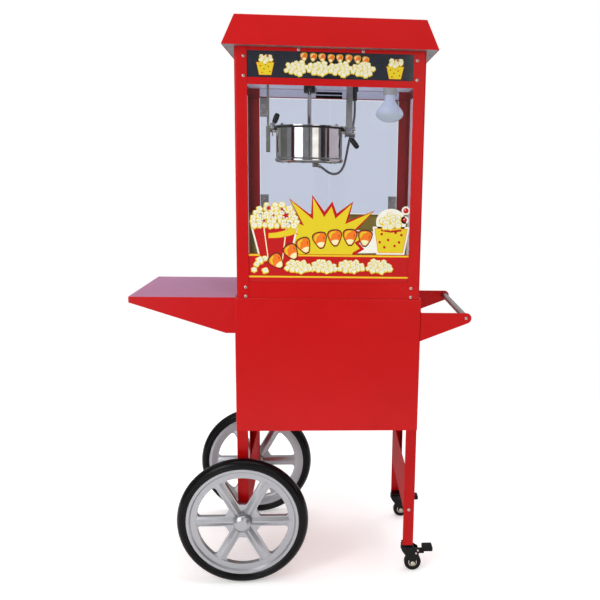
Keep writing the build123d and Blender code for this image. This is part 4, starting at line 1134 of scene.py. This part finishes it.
stick("white", 0, [(46, 946), (128, 948), (128, 1006), (46, 1012)])
for k, (x, z, lean) in enumerate(KERNELS):
    kernel(x, z, 42, lean, 12 + 5 * (k % 2))

# %% [markdown]
# ## Cup, balloons and puffs
#
# On the right stands a small spotted cup of popcorn with two balloons, cut out with a white border,
# and four heaps of popcorn lie in the band.

# %% Cup and bottom row
CUP = [(124, 1014), (134, 950), (200, 950), (211, 1014)]
stick("white", 3, grown(CUP, 6))
stick("white", 3, blob(167, 1032, 41, 3, 0.0, 0, 0.9))
stick("orange", 13, grown(CUP, 1.4))
stick("yellow", 14, CUP)
for k, (x, z) in enumerate(((142, 1000), (160, 984), (150, 964), (178, 968), (196, 998),
                            (180, 1004), (190, 978),
                            (137, 978))):
    stick("red", 15, blob(x, z, 3.6, 3, 0.0))
stick("red", 15, arc_band([(140, 1008), (167, 1004), (196, 1008)],
                          [(140, 1013), (167, 1010), (196, 1013)]))
cluster(167, 1034, 37, 28, 9.5, 13, 11)
for x, z, r in ((206.5, 1064, 7.2), (204, 1039, 6.0)):
    stick("white", 3, blob(x, z, r + 4.5, 3, 0.0))
    stick("red", 16, blob(x, z, r, 3, 0.0))
    stick("white", 17, blob(x - 0.3 * r, z + 0.3 * r, 0.22 * r, 3, 0.0))
for x, z in ((-84, 908), (-14, 908.5), (60, 909), (136, 910)):
    cluster(x, z, 42, 23, 7.6, 20, 7)
for x, z, size in ((-187, 925, 11), (-174, 930, 8), (-196, 914, 8), (-203, 899, 8), (-173, 897, 9)):
    puff(x, z, size, 20)

# %% [markdown]
# ## Print on the sign
#
# The dark sign has the same shapes, smaller: four heaps with a row of kernels over them, and a
# cup at each end.

# %% Sign print
for x in (-88, -30, 26, 84):
    cluster(x, 1428, 36, 22.5, 6.8, 18, 12)
for k, (x, z) in enumerate(((-70, 1458.7), (-46, 1458), (-23, 1457.5), (0, 1456.4), (23, 1456.6),
                            (46, 1456.6),
                            (69, 1455.2), (90, 1453))):
    kernel(x, z - 1.5, 19, 8 - 16 * (k % 2), 2 + 5 * (k % 2), "gold", "orange", "cream")
for x, z in ((-170, 1436), (168, 1434)):
    cup = [(x - 22, z + 4), (x - 15, z - 26), (x + 15, z - 26), (x + 22, z + 4)]
    stick("orange", 8, grown(cup, 1.0))
    stick("yellow", 9, cup)
    for dx, dz in ((-12, -4), (-3, -12), (8, -6), (12, -18), (-8, -21), (1, -1)):
        stick("red", 10, blob(x + dx, z + dz, 1.9, 3, 0.0))
    cluster(x, z + 13, 25, 15, 6.2, 9, 11)
    stick("red", 50, star(x + 6, z + 20, 4.5))
total = 0
for colour, bm in film.items():
    total += len(bm.faces)
    piece("film_" + colour, bm, inks[colour])
print(total, "faces of ink")

# %% [markdown]
# ## Studio
#
# Catalogue pictures are lit by a white room: a pale floor that runs out of sight, a large soft box
# from the front left, and white walls. Metal looks like metal only when it has something dark to
# reflect as well, so a few dark cards stand outside of the picture.

# %% Floor
bm = bmesh.new()
slab(bm, -9000, 9000, -9000, 9000, -20, 0)
bmesh.ops.transform(bm, matrix=TO_ROW, verts=bm.verts)
mesh = bpy.data.meshes.new("studio_floor")
bm.to_mesh(mesh)
bm.free()
floor_paint, tree, shader = surface("floor_matt_paint", "#F4F4F4", "#F8F8F8", Noise(400),
                                    Roughness=0.55, Emission_Color=(1, 1, 1, 1),
                                    Emission_Strength=0.32)
FADE_FROM, FADE_TO = 900.0, 2600.0
from_middle = add(tree, "ShaderNodeVectorMath", {0: object_place(tree)},
                  operation="LENGTH").outputs["Value"]
fade = add(tree, "ShaderNodeMapRange", {"Value": from_middle, "From Min": FADE_FROM,
                                        "From Max": FADE_TO},
           interpolation_type="SMOOTHSTEP").outputs[0]
gone = add(tree, "ShaderNodeBsdfTransparent")
floor_mix = add(tree, "ShaderNodeMixShader", {0: fade, 1: shader.outputs[0], 2: gone.outputs[0]})
tree.links.new(floor_mix.outputs[0], tree.nodes["Material Output"].inputs["Surface"])
mesh.materials.append(floor_paint)
studio_floor = bpy.data.objects.new("studio_floor", mesh)
scene.collection.objects.link(studio_floor)
print("floor ready")

# %% [markdown]
# ## Room
#
# A camera ray that misses everything sees plain white. Every other ray sees walls that are
# darker low down, so that metal and glass have something to shade against.

# %% Room
world = bpy.data.worlds.new("studio_room")
world.use_nodes = True
scene.world = world
tree = world.node_tree
room = tree.nodes["Background"]
seen = add(tree, "ShaderNodeLightPath").outputs["Is Camera Ray"]
direction = add(tree, "ShaderNodeSeparateXYZ",
                {"Vector": add(tree, "ShaderNodeTexCoord").outputs["Generated"]})
walls = add(tree, "ShaderNodeMapRange", {"Value": direction.outputs["Z"], "From Min": -0.3,
                                         "From Max": 0.9,
                                        "To Min": 0.34, "To Max": 0.62}).outputs[0]
strength = add(tree, "ShaderNodeMix", {"Factor": seen, "A": walls, "B": 1.0}).outputs[0]
tree.links.new(strength, room.inputs["Strength"])
room.inputs["Color"].default_value = (1, 1, 1, 1)
print("room ready")

# %% [markdown]
# ## Lamps and cards
#
# Soft boxes light the machine, and dark cards that the camera does not see give metal its bands.

# %% Lamps and cards
def soft_box(name, place, target, width, height, power, colour="#FFFFFF"):
    data = bpy.data.lights.new(name, "AREA")
    data.shape, data.size, data.size_y = "RECTANGLE", width, height
    data.energy, data.color = power, linear(colour)[:3]
    lamp = bpy.data.objects.new(name, data)
    lamp.location = place
    lamp.rotation_euler = (Vector(target) - Vector(place)).to_track_quat("-Z", "Y").to_euler()
    scene.collection.objects.link(lamp)


soft_box("key", (-2.2, -2.6, 3.1), (0, 0, 1.1), 1.4, 1.2, 26)
soft_box("top", (0.1, 0.3, 3.8), (0, 0, 0.0), 2.6, 2.6, 60)


def ring_place(azimuth, radius, height):
    """A place round the kettle, with azimuth in degrees from the front, towards the right."""
    a = math.radians(azimuth)
    kettle = TO_ROW @ Vector((-59, 0, 0))
    return (kettle.x + radius * math.sin(a), -radius * math.cos(a), height)


# upright light panels: a round kettle shows each one as an upright bright band
soft_box("panel_left", ring_place(-35.5, 3.0, 1.45), ring_place(0, 0, 1.45), 1.55, 2.1, 36)
soft_box("panel_right", ring_place(22, 3.0, 1.45), ring_place(0, 0, 1.45), 1.1, 2.1, 15, "#FFF6E4")


def card(name, azimuth, width, shade, glow=0.0):
    """A strip of dark card that stands 3 m from the kettle and faces it."""
    bm = bmesh.new()
    slab(bm, -width / 2, width / 2, 0, 10, 0, 2600)
    bmesh.ops.transform(bm, matrix=Matrix.Scale(MM, 4), verts=bm.verts)
    mesh = bpy.data.meshes.new(name)
    bm.to_mesh(mesh)
    bm.free()
    paper = surface(name + "_paper", shade, shade, Noise(300), Roughness=0.9,
                    Emission_Color=linear(shade), Emission_Strength=glow)[0]
    mesh.materials.append(paper)
    obj = bpy.data.objects.new(name, mesh)
    obj.visible_camera = False
    obj.location = ring_place(azimuth, 3.0, 0)
    obj.rotation_euler = (0, 0, math.radians(azimuth))
    scene.collection.objects.link(obj)


# the kettle is round, so a strip of card shows in it as an upright band
for name, azimuth, width, shade, glow in (
        ("card_left", -57, 220, "#3A1416", 0), ("card_middle", 1.5, 200, "#55503F", 0),
        ("card_right", 49, 900, "#2E1618", 0), ("card_side", 100, 2900, "#E6DADF", 0.45),
        ("card_far_side", -97, 1800, "#7E7D77", 0.1)):
    card(name, azimuth, width, shade, glow)
print("studio ready")
